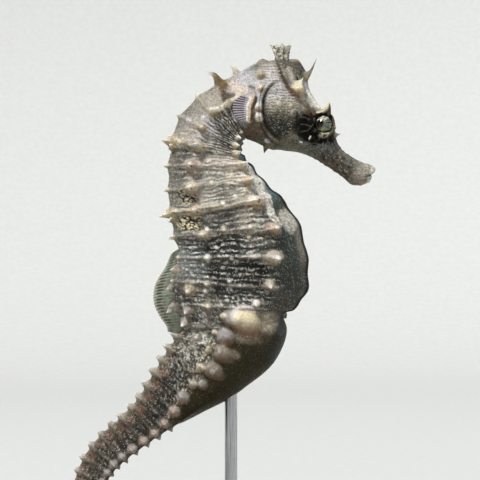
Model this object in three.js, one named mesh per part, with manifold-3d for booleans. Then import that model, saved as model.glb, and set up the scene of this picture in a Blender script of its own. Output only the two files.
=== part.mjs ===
// Seahorse, an adult male with its brood pouch, as a life-size display model on a stand.
// Millimetres, +Z up. +X is the way the snout points, and the animal's right side faces -Y.
// It is symmetric about the plane Y = 0.
import * as THREE from "three";
import { mergeVertices } from "three/addons/utils/BufferGeometryUtils.js";
import Module from "manifold-3d";

const wasm = await Module();
wasm.setup();

// ---------------------------------------------------------------- driving dimensions
const GAP = 0.3; // clear space between neighbouring parts
const AROUND = 16; // points round a body section

// The outline in the plane Y = 0, from the lips to the last straight stretch of the tail.
// [station, back x, back z, belly x, belly z, half width]. Stations 12-22 are the eleven
// trunk rings and 23 onwards the tail rings.
const OUTLINE = [
  [0, 59.5, 163.0, 57.0, 157.0, 2.8], // lips
  [1, 54.5, 165.0, 51.0, 156.0, 3.9],
  [2, 50.0, 167.5, 45.5, 160.0, 3.4], // middle of the snout
  [3, 46.0, 170.5, 39.5, 164.0, 4.2],
  [4, 44.0, 175.0, 34.5, 167.0, 6.2],
  [5, 42.5, 184.0, 29.0, 169.0, 8.0], // eye
  [6, 38.5, 187.0, 24.5, 169.5, 8.8], // brow
  [7, 34.0, 194.0, 21.0, 170.0, 9.2],
  [8, 31.5, 203.0, 18.5, 170.0, 9.2], // gill cover
  [9, 25.0, 206.5, 16.0, 171.0, 9.2], // crown
  [10, 13.0, 205.5, 12.0, 173.0, 9.0],
  [11, 5.5, 202.0, 9.0, 174.0, 9.0], // nape
  [12, -3.0, 197.0, 7.5, 174.0, 9.5], // ring 1
  [13, -11.5, 191.0, 7.0, 172.5, 10.3],
  [14, -18.5, 183.0, 6.5, 170.0, 11.0],
  [15, -22.0, 173.0, 7.0, 167.5, 12.0], // ring 4
  [16, -23.0, 163.5, 10.5, 163.5, 12.8],
  [17, -22.9, 153.8, 15.2, 157.3, 13.6],
  [18, -22.5, 144.0, 22.0, 151.0, 14.4], // ring 7
  [19, -20.5, 135.0, 29.5, 140.0, 14.9],
  [20, -19.0, 127.0, 32.5, 127.0, 15.0],
  [21, -21.5, 117.5, 32.5, 114.5, 14.6],
  [22, -21.0, 108.5, 27.0, 106.4, 13.6], // ring 11
  [22.5, -19.3, 104.2, 22.8, 104.0, 13.2], // notch before the pouch
  [23, -17.5, 100.0, 24.4, 98.5, 12.8], // pouch
  [24, -20.0, 95.5, 19.2, 85.0, 12.4],
  [25, -23.0, 91.0, 7.0, 74.5, 11.4],
  [27, -29.0, 81.5, -9.5, 65.0, 9.4],
  [29, -35.0, 71.5, -22.0, 58.5, 8.0],
  [31, -42.0, 63.5, -31.5, 52.5, 7.2],
  [33, -50.0, 56.5, -40.0, 46.0, 6.6],
];
const STATION = { snout: 3, nape: 11, ring1: 12, ring4: 15, ring8: 19, ring11: 22, pouchEnd: 28 };

// Half sections, back to belly, as [sideways, up] in shares of half width and half depth.
const TRUNK_HALF = [
  [0, 0.9],
  [0.34, 0.93],
  [0.58, 1],
  [0.82, 0.7],
  [1, 0.36],
  [0.95, -0.1],
  [0.8, -0.56],
  [0.38, -0.86],
  [0, -1],
];
const POUCH_HALF = [
  [0, 0.93],
  [0.3, 0.95],
  [0.52, 1],
  [0.72, 0.72],
  [0.88, 0.36],
  [1, -0.1],
  [0.93, -0.56],
  [0.56, -0.88],
  [0, -1],
];
const TAIL_HALF = [
  [0, 0.92],
  [0.4, 0.94],
  [0.78, 1],
  [0.86, 0.5],
  [0.9, 0],
  [0.92, -0.46],
  [0.92, -0.9],
  [0.42, -0.96],
  [0, -0.97],
];

// The rest of the tail curls forwards, tighter and thinner towards its tip.
const CURL = {
  rings: 27,
  firstPitch: 5.0,
  lastPitch: 1.5,
  bend: 1.2, // degrees per mm where the curl begins
  moreBend: 8.6, // added by the tip
  bendPower: 1.25,
  taper: 0.92, // share of the depth lost by the tip
  taperPower: 1.15,
};
// Where the tail parts from the pouch below it: station, height in shares of half depth.
const POUCH_SLIT = [
  [22, 0.34],
  [23, 0.36],
  [24, 0.24],
  [25, 0.1],
  [26, -0.14],
  [27, -0.42],
  [28, -0.9],
  [28.6, -1.6],
];
const CURL_CUTS = [34, 39, 44, 49, 54]; // stations where the curled tail is divided
const FINE_TAIL = 44; // up to here the rings show

const RING_RELIEF = 0.05; // how far the skin sinks between two rings, as a share of half size
const SPINE = { sides: 5, smallSides: 3, sink: 1.6 };
const EYE = { x: 38.6, z: 180.0, radius: 3.8, y: 5.2 };
const ORBIT = { radius: 5.0, y: 2.9 };
const BROW_SPINE = { x: 39.8, y: 4.4, z: 185.4, length: 3.8, radius: 1.4 };
const HORN = { x: 32.2, y: 3.2, z: 199.6, length: 6.4, radius: 1.9 }; // in front of the crown
const CORONET = {
  x: 23.4,
  foot: 204.4,
  top: 212.6,
  neck: 2.5,
  points: 5,
  reach: 4.3, // radius out to the points
  notch: 3.0, // radius between them
  lean: 1.2,
};
const DORSAL_FIN = { from: 19.35, to: 23.9, reach: 7.6, thickness: 0.9, rays: 18 };
const PECTORAL = { x: 10.6, z: 186.4, reach: 6.6, halfBase: 4.6, thickness: 0.7, flare: 24, rays: 14 };
const ANAL_FIN = { station: 22.5, reach: 1.7, width: 3.0, thickness: 0.8 };
const BASE = { radius: 46, height: 8, edge: 1.6, x: -2 };
const ROD = { x: 2, radius: 2.5, intoBase: 5, intoBody: 7 };

// ---------------------------------------------------------------- profile along the body
function bentTail() {
  const rows = [];
  const [, bx, bz, vx, vz, half] = OUTLINE.at(-1);
  const depth = Math.hypot(bx - vx, bz - vz);
  let heading = Math.atan2(bz - vz, bx - vx) + Math.PI / 2;
  let x = (bx + vx) / 2;
  let z = (bz + vz) / 2;
  const lessPitch = (CURL.firstPitch - CURL.lastPitch) / (CURL.rings - 1);
  const length = ((CURL.firstPitch + CURL.lastPitch) / 2) * CURL.rings;
  const steps = 20;
  let run = 0;
  for (let i = 0; i < CURL.rings; i++) {
    const step = (CURL.firstPitch - lessPitch * i) / steps;
    for (let k = 0; k < steps; k++) {
      const bend = CURL.bend + CURL.moreBend * (run / length) ** CURL.bendPower;
      heading += THREE.MathUtils.degToRad(bend * step);
      x += Math.cos(heading) * step;
      z += Math.sin(heading) * step;
      run += step;
    }
    const left = 1 - CURL.taper * (run / length) ** CURL.taperPower;
    const dx = (Math.sin(heading) * depth * left) / 2;
    const dz = (-Math.cos(heading) * depth * left) / 2;
    rows.push([34 + i, x + dx, z + dz, x - dx, z - dz, half * left]);
  }
  return rows;
}

const ROWS = [...OUTLINE, ...bentTail()];
const LAST = ROWS.at(-1)[0];

// Every column of ROWS at any station, on a smooth curve through the rows.
function profile(station) {
  const s = THREE.MathUtils.clamp(station, 0, LAST);
  const i = Math.min(ROWS.findLastIndex((row) => row[0] <= s), ROWS.length - 2);
  const slope = (j, c) => {
    const [a, b] = [ROWS[Math.max(j - 1, 0)], ROWS[Math.min(j + 1, ROWS.length - 1)]];
    const m = ROWS[j];
    if (a === m) return (b[c] - m[c]) / (b[0] - m[0]);
    if (b === m) return (m[c] - a[c]) / (m[0] - a[0]);
    const [h0, h1] = [m[0] - a[0], b[0] - m[0]];
    return (((m[c] - a[c]) / h0) * h1 + ((b[c] - m[c]) / h1) * h0) / (h0 + h1);
  };
  const [p, q] = [ROWS[i], ROWS[i + 1]];
  const h = q[0] - p[0];
  const f = (s - p[0]) / h;
  const at = (c) =>
    (2 * f ** 3 - 3 * f ** 2 + 1) * p[c] +
    (f ** 3 - 2 * f ** 2 + f) * h * slope(i, c) +
    (3 * f ** 2 - 2 * f ** 3) * q[c] +
    (f ** 3 - f ** 2) * h * slope(i + 1, c);
  const back = new THREE.Vector3(at(1), 0, at(2));
  const belly = new THREE.Vector3(at(3), 0, at(4));
  const middle = back.clone().add(belly).multiplyScalar(0.5);
  const up = back.clone().sub(middle);
  const depth = up.length();
  up.normalize();
  const along = up.clone().cross(new THREE.Vector3(0, 1, 0)); // towards the tail
  return { back, belly, middle, up, along, depth, half: at(5) };
}

const ramp = (value, from, to) => THREE.MathUtils.smoothstep(value, from, to);

// Half of a section, back to belly, as [sideways, up] in shares of half width and half depth.
function halfSection(station) {
  const n = AROUND / 2;
  const head = Array.from({ length: n + 1 }, (_, i) => {
    const turn = (Math.PI * i) / n;
    return [Math.sin(turn) ** 0.85, Math.cos(turn)];
  });
  const mix = (a, b, share) => a.map((p, i) => p.map((v, k) => v + (b[i][k] - v) * share));
  let section = mix(head, TRUNK_HALF, ramp(station, 10.5, 13));
  section = mix(section, POUCH_HALF, ramp(station, 21.6, 23.2));
  return mix(section, TAIL_HALF, ramp(station, 25.5, 29));
}

// Ring relief: full size on a ring, sunk between two of them, none on the head.
function relief(station) {
  const onRings = ramp(station, 11, 12);
  return 1 - onRings * RING_RELIEF * Math.sin(Math.PI * station) ** 2;
}

// A closed ring of points round the body at one station.
function sectionAt(station, swell = 0) {
  const p = profile(station);
  const scale = relief(station);
  const half = halfSection(station);
  const loop = [...half, ...half.slice(1, -1).reverse().map(([y, u]) => [-y, u])];
  return loop.map(([y, u]) =>
    p.middle
      .clone()
      .addScaledVector(p.up, u * (p.depth * scale + swell))
      .add(new THREE.Vector3(0, -y * (p.half * scale + swell), 0)),
  );
}

// ---------------------------------------------------------------- solids
function toManifold(geometry) {
  geometry.deleteAttribute("normal");
  geometry.deleteAttribute("uv");
  const merged = mergeVertices(geometry, 1e-4);
  const vertProperties = new Float32Array(merged.attributes.position.array);
  const triVerts = new Uint32Array(merged.index.array);
  const solid = new wasm.Manifold(new wasm.Mesh({ numProp: 3, vertProperties, triVerts }));
  if (solid.volume() > 0) return solid;
  for (let i = 0; i < triVerts.length; i += 3) triVerts.subarray(i, i + 2).reverse();
  return new wasm.Manifold(new wasm.Mesh({ numProp: 3, vertProperties, triVerts }));
}

// A solid through rings of equally many points, closed by a fan at each end.
function loft(rings) {
  const count = rings[0].length;
  const points = rings.flat();
  const faces = [];
  for (let r = 0; r < rings.length - 1; r++) {
    for (let i = 0; i < count; i++) {
      const j = (i + 1) % count;
      const [a, b, c, d] = [r * count + i, r * count + j, (r + 1) * count + i, (r + 1) * count + j];
      faces.push(a, c, b, b, c, d);
    }
  }
  for (const first of [0, (rings.length - 1) * count]) {
    const turn = first > 0;
    const centre = points.length;
    const middle = new THREE.Vector3();
    points.slice(first, first + count).forEach((p) => middle.add(p));
    points.push(middle.divideScalar(count));
    for (let i = 0; i < count; i++) {
      const j = (i + 1) % count;
      faces.push(...(turn ? [centre, first + j, first + i] : [centre, first + i, first + j]));
    }
  }
  const geometry = new THREE.BufferGeometry().setFromPoints(points);
  geometry.setIndex(faces);
  return toManifold(geometry);
}

// The body between two stations, both ends drawn in by half a gap.
function bodyLength(from, to, perStation = 2, swell = 0) {
  const steps = Math.max(2, Math.round((to - from) * perStation));
  const rings = [];
  for (let i = 0; i <= steps; i++) {
    const station = from + ((to - from) * i) / steps;
    const ring = sectionAt(station, swell);
    const inset = i === 0 ? GAP / 2 : i === steps ? -GAP / 2 : 0;
    const { along } = profile(station);
    ring.forEach((p) => p.addScaledVector(along, swell ? 0 : inset));
    rings.push(ring);
  }
  return loft(rings);
}

// A spine from the skin, bent back a little towards its tip.
function spine(foot, direction, length, radius, hook = 0, hookWay = new THREE.Vector3()) {
  const way = direction.clone().normalize();
  const side = new THREE.Vector3(0.37, 0.61, 0.7).cross(way).normalize();
  const other = way.clone().cross(side);
  const sides = length > 2.4 ? SPINE.sides : SPINE.smallSides;
  const long = [
    [-SPINE.sink, 1.15],
    [length * 0.5, 0.6],
    [length, 0.16],
  ];
  const short = [
    [-SPINE.sink, 1.5],
    [length, 0.2],
  ];
  const levels = length > 2.4 ? long : short;
  const rings = levels.map(([out, share]) => {
    const centre = foot.clone().addScaledVector(way, out);
    centre.addScaledVector(hookWay, hook * Math.max(0, out / length) ** 2);
    return Array.from({ length: sides }, (_, i) => {
      const turn = (2 * Math.PI * i) / sides;
      return centre
        .clone()
        .addScaledVector(side, Math.cos(turn) * radius * share)
        .addScaledVector(other, Math.sin(turn) * radius * share);
    });
  });
  return loft(rings);
}

// A pair of spines on the body at a station, at a place on the section, leaning out from the middle.
function spinePair(station, [y, u], length, radius, hook = 0) {
  const p = profile(station);
  return [1, -1].map((side) => {
    const foot = p.middle.clone().addScaledVector(p.up, u * p.depth);
    foot.y = -side * y * p.half;
    const out = p.up.clone().multiplyScalar(u * 1.1);
    out.y = -side * y * 0.8;
    return spine(foot, out, length, radius, hook, p.along);
  });
}

function joined(first, ...rest) {
  return rest.flat().reduce((sum, solid) => sum.add(solid), first);
}

function sphere(radius, x, y, z, detail = 2) {
  const ball = new THREE.IcosahedronGeometry(radius, detail);
  ball.translate(x, y, z);
  return toManifold(ball);
}

function cylinder(radius, bottom, top, x, sides = 24) {
  const shape = new THREE.CylinderGeometry(radius, radius, top - bottom, sides);
  shape.rotateX(Math.PI / 2);
  shape.translate(x, 0, (top + bottom) / 2);
  return toManifold(shape);
}

// A flat plate of an outline in the plane Y = 0, [x, z] points, centred on that plane.
function plate(points, thickness) {
  const shape = new THREE.Shape(points.map(([x, z]) => new THREE.Vector2(x, z)));
  const geometry = new THREE.ExtrudeGeometry(shape, { depth: thickness, bevelEnabled: false });
  geometry.rotateX(Math.PI / 2);
  geometry.translate(0, thickness / 2, 0);
  return toManifold(geometry);
}

// ---------------------------------------------------------------- head
function makeHead() {
  let head = bodyLength(STATION.snout, STATION.nape, 2);
  for (const side of [1, -1]) head = head.add(sphere(ORBIT.radius, EYE.x - 0.4, -side * ORBIT.y, EYE.z, 1));
  const spikes = [
    spinePair(8.9, [0.45, -0.96], 2.2, 1.1), // throat
    spinePair(8.3, [0.86, 0.55], 2.2, 2.6), // bump behind the eye
  ];
  head = joined(head, ...spikes);
  const { Vector3 } = THREE;
  for (const side of [1, -1]) {
    const brow = new Vector3(BROW_SPINE.x, -side * BROW_SPINE.y, BROW_SPINE.z);
    const upright = new Vector3(0.25, -side * 0.2, 1);
    head = head.add(spine(brow, upright, BROW_SPINE.length, BROW_SPINE.radius));
    const horn = new Vector3(HORN.x, -side * HORN.y, HORN.z);
    const rise = new Vector3(0.75, -side * 0.15, 0.8);
    head = head.add(spine(horn, rise, HORN.length, HORN.radius, 2.4, new Vector3(-0.6, 0, 0.8)));
  }
  head = head.add(spine(profile(4.2).back, new THREE.Vector3(1, 0, 0.6), 2.2, 1.1)); // nose
  for (const side of [1, -1]) head = head.subtract(sphere(EYE.radius + GAP, EYE.x, -side * EYE.y, EYE.z, 2));
  return head.subtract(cylinder(CORONET.neck * 1.15 + GAP, CORONET.foot - GAP, CORONET.top, CORONET.x, 20));
}

function makeSnout() {
  const mouth = plate([[61, 160.4], [61, 159.6], [57.2, 160.2]], 3.4);
  return bodyLength(0, STATION.snout, 2).subtract(mouth);
}

// A five-pointed crown on a short column, hollowed a little at the top.
function makeCoronet() {
  const { x, foot, top, neck, points, reach, notch, lean } = CORONET;
  const height = top - foot;
  const around = points * 4;
  const level = (rise, radius, pointed, drop = 0) =>
    Array.from({ length: around }, (_, i) => {
      const turn = (2 * Math.PI * i) / around;
      const peak = (0.5 + 0.5 * Math.cos(points * turn)) ** 1.6;
      const r = radius + pointed * peak;
      return new THREE.Vector3(
        x - (lean * rise) / height + Math.cos(turn) * r,
        Math.sin(turn) * r,
        foot + rise - drop * (1 - peak),
      );
    });
  return loft([
    level(0, neck * 1.15, 0),
    level(height * 0.3, neck * 0.95, 0.2),
    level(height * 0.66, neck, 0.6),
    level(height, notch - 0.3, reach - notch + 0.3, 1.6),
    level(height - 1.9, 0.9, 0.3),
  ]);
}

// ---------------------------------------------------------------- trunk, pouch and tail
// Spines stand on three ridges down each side, the longest on rings 1, 4, 7 and 11.
function trunkSpines(from, to) {
  const found = [];
  for (let station = Math.ceil(from - 0.01); station < to; station++) {
    const ring = station - 11;
    const big = [1, 4, 7, 11].includes(ring);
    const [superior, lateral, inferior] = [[0.58, 0.97], [0.97, 0.36], [0.82, -0.56]];
    const at = station + 0.06 + (station === from ? 0.1 : 0);
    found.push(...spinePair(at, superior, big ? 4.2 : 2.2, big ? 1.9 : 1.3, ring === 1 ? 1.2 : 0.6));
    found.push(...spinePair(at, lateral, big ? 2.6 : 1.7, 1.5));
    if (ring > 2) found.push(...spinePair(at, inferior, big ? 2.2 : 1.5, 1.4));
  }
  return found;
}

function trunkLength(from, to) {
  const length = bodyLength(from, to, 2);
  const [a, b] = [profile(from), profile(to)];
  const whole = joined(length, trunkSpines(from, to));
  return whole
    .trimByPlane(a.along.toArray(), a.along.dot(a.middle) + GAP / 2)
    .trimByPlane(b.along.clone().negate().toArray(), -b.along.dot(b.middle) + GAP / 2);
}

// The bent gap between tail and pouch, along the lower ridge of the tail.
function pouchSlit() {
  const points = POUCH_SLIT.map(([station, u]) => {
    const p = profile(station);
    return p.middle.clone().addScaledVector(p.up, u * p.depth);
  });
  points.unshift(points[0].clone().add(new THREE.Vector3(0, 0, 3)));
  const rings = points.map((p, i) => {
    const next = points[Math.min(i + 1, points.length - 1)];
    const along = next.clone().sub(points[Math.max(i - 1, 0)]).normalize();
    const across = new THREE.Vector3(0, 1, 0).cross(along).multiplyScalar(GAP / 2);
    const wide = new THREE.Vector3(0, 30, 0);
    return [
      p.clone().add(across).add(wide),
      p.clone().sub(across).add(wide),
      p.clone().sub(across).sub(wide),
      p.clone().add(across).sub(wide),
    ];
  });
  return loft(rings);
}

function rodSocket() {
  return cylinder(ROD.radius + GAP, 0, rodTop() + GAP, ROD.x, 24);
}

// The rod ends inside the pouch, a set depth above the underside.
function rodTop() {
  let low = 0;
  for (let station = 23; station < 27; station += 0.05) {
    const { belly } = profile(station);
    if (Math.abs(belly.x - ROD.x) < 0.6) low = belly.z;
  }
  return low + ROD.intoBody;
}

function makeTailBaseAndPouch() {
  const whole = bodyLength(STATION.ring11, STATION.pouchEnd, 2);
  const pieces = whole.subtract(pouchSlit()).decompose();
  const big = pieces.filter((p) => p.volume() > 1);
  const behind = (p) => -p.boundingBox().min[0];
  big.sort((a, b) => behind(b) - behind(a));
  return { tail: big[0], pouch: big[1].subtract(rodSocket()) };
}

// Small spines on the four corners of the tail's first rings.
function tailSpines(from, to) {
  const found = [];
  for (let station = Math.ceil(from + 0.01); station < to; station++) {
    const size = THREE.MathUtils.mapLinear(station, 23, 40, 1.9, 0.8);
    found.push(...spinePair(station, station < 26 ? [0.54, 0.96] : [0.74, 0.95], size, size * 0.62, 0.3));
  }
  return found;
}

// ---------------------------------------------------------------- fins
function makeDorsalFin(body) {
  const { from, to, reach, thickness, rays } = DORSAL_FIN;
  const edge = [];
  const root = [];
  for (let i = 0; i <= rays; i++) {
    const share = i / rays;
    const station = from + (to - from) * share;
    const p = profile(station);
    const rise = reach * Math.sin(Math.PI * Math.min(0.04 + share * 0.93, 1)) ** 0.5;
    const tip = p.back.clone().addScaledVector(p.up, rise);
    edge.push(tip.addScaledVector(p.along, 1.2 - 3 * (share - 0.5)));
    root.push(p.middle.clone().addScaledVector(p.up, 0.8 * p.depth));
  }
  const outline = [...edge, ...root.reverse()].map((p) => [p.x, p.z]);
  return biggest(plate(outline, thickness).subtract(body));
}

function makeAnalFin(body) {
  const { station, reach, width, thickness } = ANAL_FIN;
  const p = profile(station);
  const fan = [
    [-0.3 * width, 1.5],
    [-0.5 * width, -0.8 * reach],
    [0, -reach],
    [0.5 * width, -0.8 * reach],
    [0.3 * width, 1.5],
  ];
  const points = fan.map(([run, rise]) => {
    const q = p.belly.clone().addScaledVector(p.along, run).addScaledVector(p.up, rise);
    return [q.x, q.z];
  });
  return biggest(plate(points, thickness).subtract(body));
}

function biggest(solid) {
  return solid.decompose().sort((a, b) => b.volume() - a.volume())[0];
}

// A small fan on the side of the neck, spread backwards and held a little off the skin.
function makePectoralFin(side, body) {
  const { x, z, reach, halfBase, thickness, flare, rays } = PECTORAL;
  const fan = [];
  for (let i = 0; i <= rays; i++) {
    const turn = THREE.MathUtils.degToRad(-62 + (124 * i) / rays);
    fan.push([-Math.cos(turn) * reach, Math.sin(turn) * (halfBase + 1.6)]);
  }
  fan.push([0.6, halfBase], [0.6, -halfBase]);
  const leaf = plate(fan, thickness)
    .rotate([0, 0, side * flare])
    .translate([x, -side * 9.1, z]);
  return biggest(leaf.subtract(body));
}

// ---------------------------------------------------------------- stand
function makeBase() {
  const { radius, height, edge, x } = BASE;
  const half = [
    [0, 0],
    [radius - 0.6, 0],
    [radius, 0.6],
    [radius, height - edge],
    [radius - edge * 0.3, height - edge * 0.3],
    [radius - edge, height],
    [0, height],
  ];
  const disc = new THREE.LatheGeometry(
    half.map(([r, h]) => new THREE.Vector2(r, h)),
    44,
  );
  disc.rotateX(Math.PI / 2);
  disc.translate(x, 0, 0);
  const socket = cylinder(ROD.radius + GAP, BASE.height - ROD.intoBase - GAP, BASE.height + 5, ROD.x, 24);
  return toManifold(disc).subtract(socket);
}

function makeRod() {
  return cylinder(ROD.radius, BASE.height - ROD.intoBase, rodTop(), ROD.x, 24);
}

// ---------------------------------------------------------------- the scene graph
const finish = {
  skin: new THREE.MeshStandardMaterial({ color: 0x5b5149, roughness: 0.6 }),
  paleSkin: new THREE.MeshStandardMaterial({ color: 0x8c7f72, roughness: 0.6 }),
  crown: new THREE.MeshStandardMaterial({ color: 0xc7b8a0, roughness: 0.6 }),
  eye: new THREE.MeshStandardMaterial({ color: 0x2a2c22, roughness: 0.08 }),
  fin: new THREE.MeshStandardMaterial({ color: 0x8d968c, roughness: 0.45 }),
  base: new THREE.MeshStandardMaterial({ color: 0x4a3222, roughness: 0.45 }),
  rod: new THREE.MeshStandardMaterial({ color: 0xb9bbbd, roughness: 0.3, metalness: 1 }),
};

const seahorse = new THREE.Group();
seahorse.name = "seahorse";

function addPart(name, solid, material) {
  const mesh = solid.getMesh();
  const geometry = new THREE.BufferGeometry();
  geometry.setAttribute("position", new THREE.BufferAttribute(Float32Array.from(mesh.vertProperties), 3));
  geometry.setIndex(new THREE.BufferAttribute(Uint32Array.from(mesh.triVerts), 1));
  geometry.computeVertexNormals();
  const part = new THREE.Mesh(geometry, material.clone());
  part.name = name;
  seahorse.add(part);
  return part;
}

const { tail, pouch } = makeTailBaseAndPouch();
const bodyWithGap = bodyLength(STATION.nape - 3, 29, 2, GAP);

addPart("snout", makeSnout(), finish.skin);
addPart("head", makeHead(), finish.skin);
addPart("coronet", makeCoronet(), finish.crown);
addPart("eye_right", sphere(EYE.radius, EYE.x, -EYE.y, EYE.z, 2), finish.eye);
addPart("eye_left", sphere(EYE.radius, EYE.x, EYE.y, EYE.z, 2), finish.eye);
addPart("neck", trunkLength(STATION.nape, STATION.ring1 + 1), finish.paleSkin);
addPart("trunk_upper", trunkLength(STATION.ring1 + 1, 16), finish.skin);
addPart("trunk_middle", trunkLength(16, 19), finish.skin);
addPart("trunk_lower", trunkLength(19, STATION.ring11), finish.skin);
addPart("brood_pouch", pouch, finish.skin);
addPart("tail_1", joined(tail, tailSpines(22.2, 28)), finish.skin);
addPart("tail_2", joined(bodyLength(28, CURL_CUTS[0], 2), tailSpines(28, CURL_CUTS[0])), finish.skin);
CURL_CUTS.forEach((cut, i) => {
  const end = CURL_CUTS[i + 1] ?? LAST;
  addPart(`tail_${i + 3}`, bodyLength(cut, end, cut < FINE_TAIL ? 2 : 1.2), finish.skin);
});
addPart("dorsal_fin", makeDorsalFin(bodyWithGap), finish.fin);
addPart("anal_fin", makeAnalFin(bodyWithGap), finish.fin);
addPart("pectoral_fin_right", makePectoralFin(1, bodyWithGap), finish.fin);
addPart("pectoral_fin_left", makePectoralFin(-1, bodyWithGap), finish.fin);
addPart("stand_base", makeBase(), finish.base);
addPart("stand_rod", makeRod(), finish.rod);

export default seahorse;
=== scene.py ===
"""Seahorse display model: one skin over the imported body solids, with eyes, coronet, fins and stand."""

import math

import bmesh
import bpy
import numpy as np
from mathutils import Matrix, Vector


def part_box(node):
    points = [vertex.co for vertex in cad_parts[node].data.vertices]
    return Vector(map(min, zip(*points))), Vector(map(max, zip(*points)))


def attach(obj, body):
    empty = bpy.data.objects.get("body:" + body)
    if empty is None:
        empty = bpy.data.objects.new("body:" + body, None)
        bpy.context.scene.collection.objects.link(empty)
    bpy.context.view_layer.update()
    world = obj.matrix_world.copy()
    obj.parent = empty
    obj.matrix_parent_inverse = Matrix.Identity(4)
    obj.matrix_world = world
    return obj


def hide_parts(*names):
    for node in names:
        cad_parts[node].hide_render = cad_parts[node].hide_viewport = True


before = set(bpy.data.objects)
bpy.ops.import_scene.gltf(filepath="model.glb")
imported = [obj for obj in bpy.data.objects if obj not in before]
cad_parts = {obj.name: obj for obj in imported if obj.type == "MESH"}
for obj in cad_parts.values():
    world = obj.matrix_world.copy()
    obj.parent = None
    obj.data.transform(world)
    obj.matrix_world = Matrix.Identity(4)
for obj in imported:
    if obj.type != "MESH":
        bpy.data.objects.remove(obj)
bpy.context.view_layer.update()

FLESH = ["snout", "head", "neck", "trunk_upper", "trunk_middle", "trunk_lower", "brood_pouch"]
FLESH += [f"tail_{number}" for number in range(1, 8)]

MM = 0.001  # the body is worked out in millimetres, as the solids are


def middle_and_size(node):
    """The middle and the size of a solid's box, in mm."""
    low, high = (np.array(corner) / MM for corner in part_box(node))
    return (low + high) / 2, high - low


eye_middle, eye_size = middle_and_size("eye_left")
eye_radius = eye_size[0] / 2
coronet_middle, coronet_size = middle_and_size("coronet")
GILL = (22.2, 186.0, 6.9, 10.7)  # side view x, z and half sizes of the gill cover

NEAR, FAR = -1.0, 1.0  # the animal's right and left side, towards -Y and +Y

# ------------------------------------------------------------------ outline of the body
# station, back x, back z, belly x, belly z, half width. Stations 12-22 are the trunk rings,
# 23 onwards the tail rings.
OUTLINE = [
    (0, 59.5, 163.0, 57.0, 157.0, 2.8),  # lips
    (1, 54.5, 165.0, 51.0, 156.0, 3.9),
    (2, 50.0, 167.5, 45.5, 160.0, 3.4),  # middle of the snout
    (3, 46.0, 170.5, 39.5, 164.0, 4.2),
    (4, 44.0, 175.0, 34.5, 167.0, 6.2),
    (5, 42.5, 184.0, 29.0, 169.0, 8.0),  # eye
    (6, 38.5, 187.0, 24.5, 169.5, 8.8),  # brow
    (7, 34.0, 194.0, 21.0, 170.0, 9.2),
    (8, 31.5, 203.0, 18.5, 170.0, 9.2),  # gill cover
    (9, 25.0, 206.5, 16.0, 171.0, 9.2),  # crown
    (10, 13.0, 205.5, 12.0, 173.0, 9.0),
    (11, 5.5, 202.0, 9.0, 174.0, 9.0),  # nape
    (12, -3.0, 197.0, 7.5, 174.0, 9.5),  # ring 1
    (13, -11.5, 191.0, 7.0, 172.5, 10.3),
    (14, -18.5, 183.0, 6.5, 170.0, 11.0),
    (15, -22.0, 173.0, 7.0, 167.5, 12.0),  # ring 4
    (16, -23.0, 163.5, 10.5, 163.5, 12.8),
    (17, -22.9, 153.8, 15.2, 157.3, 13.6),
    (18, -22.5, 144.0, 22.0, 151.0, 14.4),  # ring 7
    (19, -20.5, 135.0, 29.5, 140.0, 14.9),
    (20, -19.0, 127.0, 32.5, 127.0, 15.0),
    (21, -21.5, 117.5, 32.5, 114.5, 14.6),
    (22, -21.0, 108.5, 27.0, 106.4, 13.6),  # ring 11
    (22.5, -19.3, 104.2, 22.8, 104.0, 13.2),  # notch before the pouch
    (23, -17.5, 100.0, 24.4, 98.5, 12.8),  # pouch
    (24, -20.0, 95.5, 19.2, 85.0, 12.4),
    (25, -23.0, 91.0, 7.0, 74.5, 11.4),
    (27, -29.0, 81.5, -9.5, 65.0, 9.4),
    (29, -35.0, 71.5, -22.0, 58.5, 8.0),
    (31, -42.0, 63.5, -31.5, 52.5, 7.2),
    (33, -50.0, 56.5, -40.0, 46.0, 6.6),
]
TAIL_FROM = 23
CURL_RINGS = 27
CURL_STEPS = 20  # between two rings
CURL_PITCH = (5.0, 1.5)  # mm between the first rings and between the last
CURL_BEND = (1.2, 8.6, 1.25)  # degrees per mm: start, added by the tip, power
CURL_TAPER = (0.92, 1.15)  # share of the thickness lost by the tip, power

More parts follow.
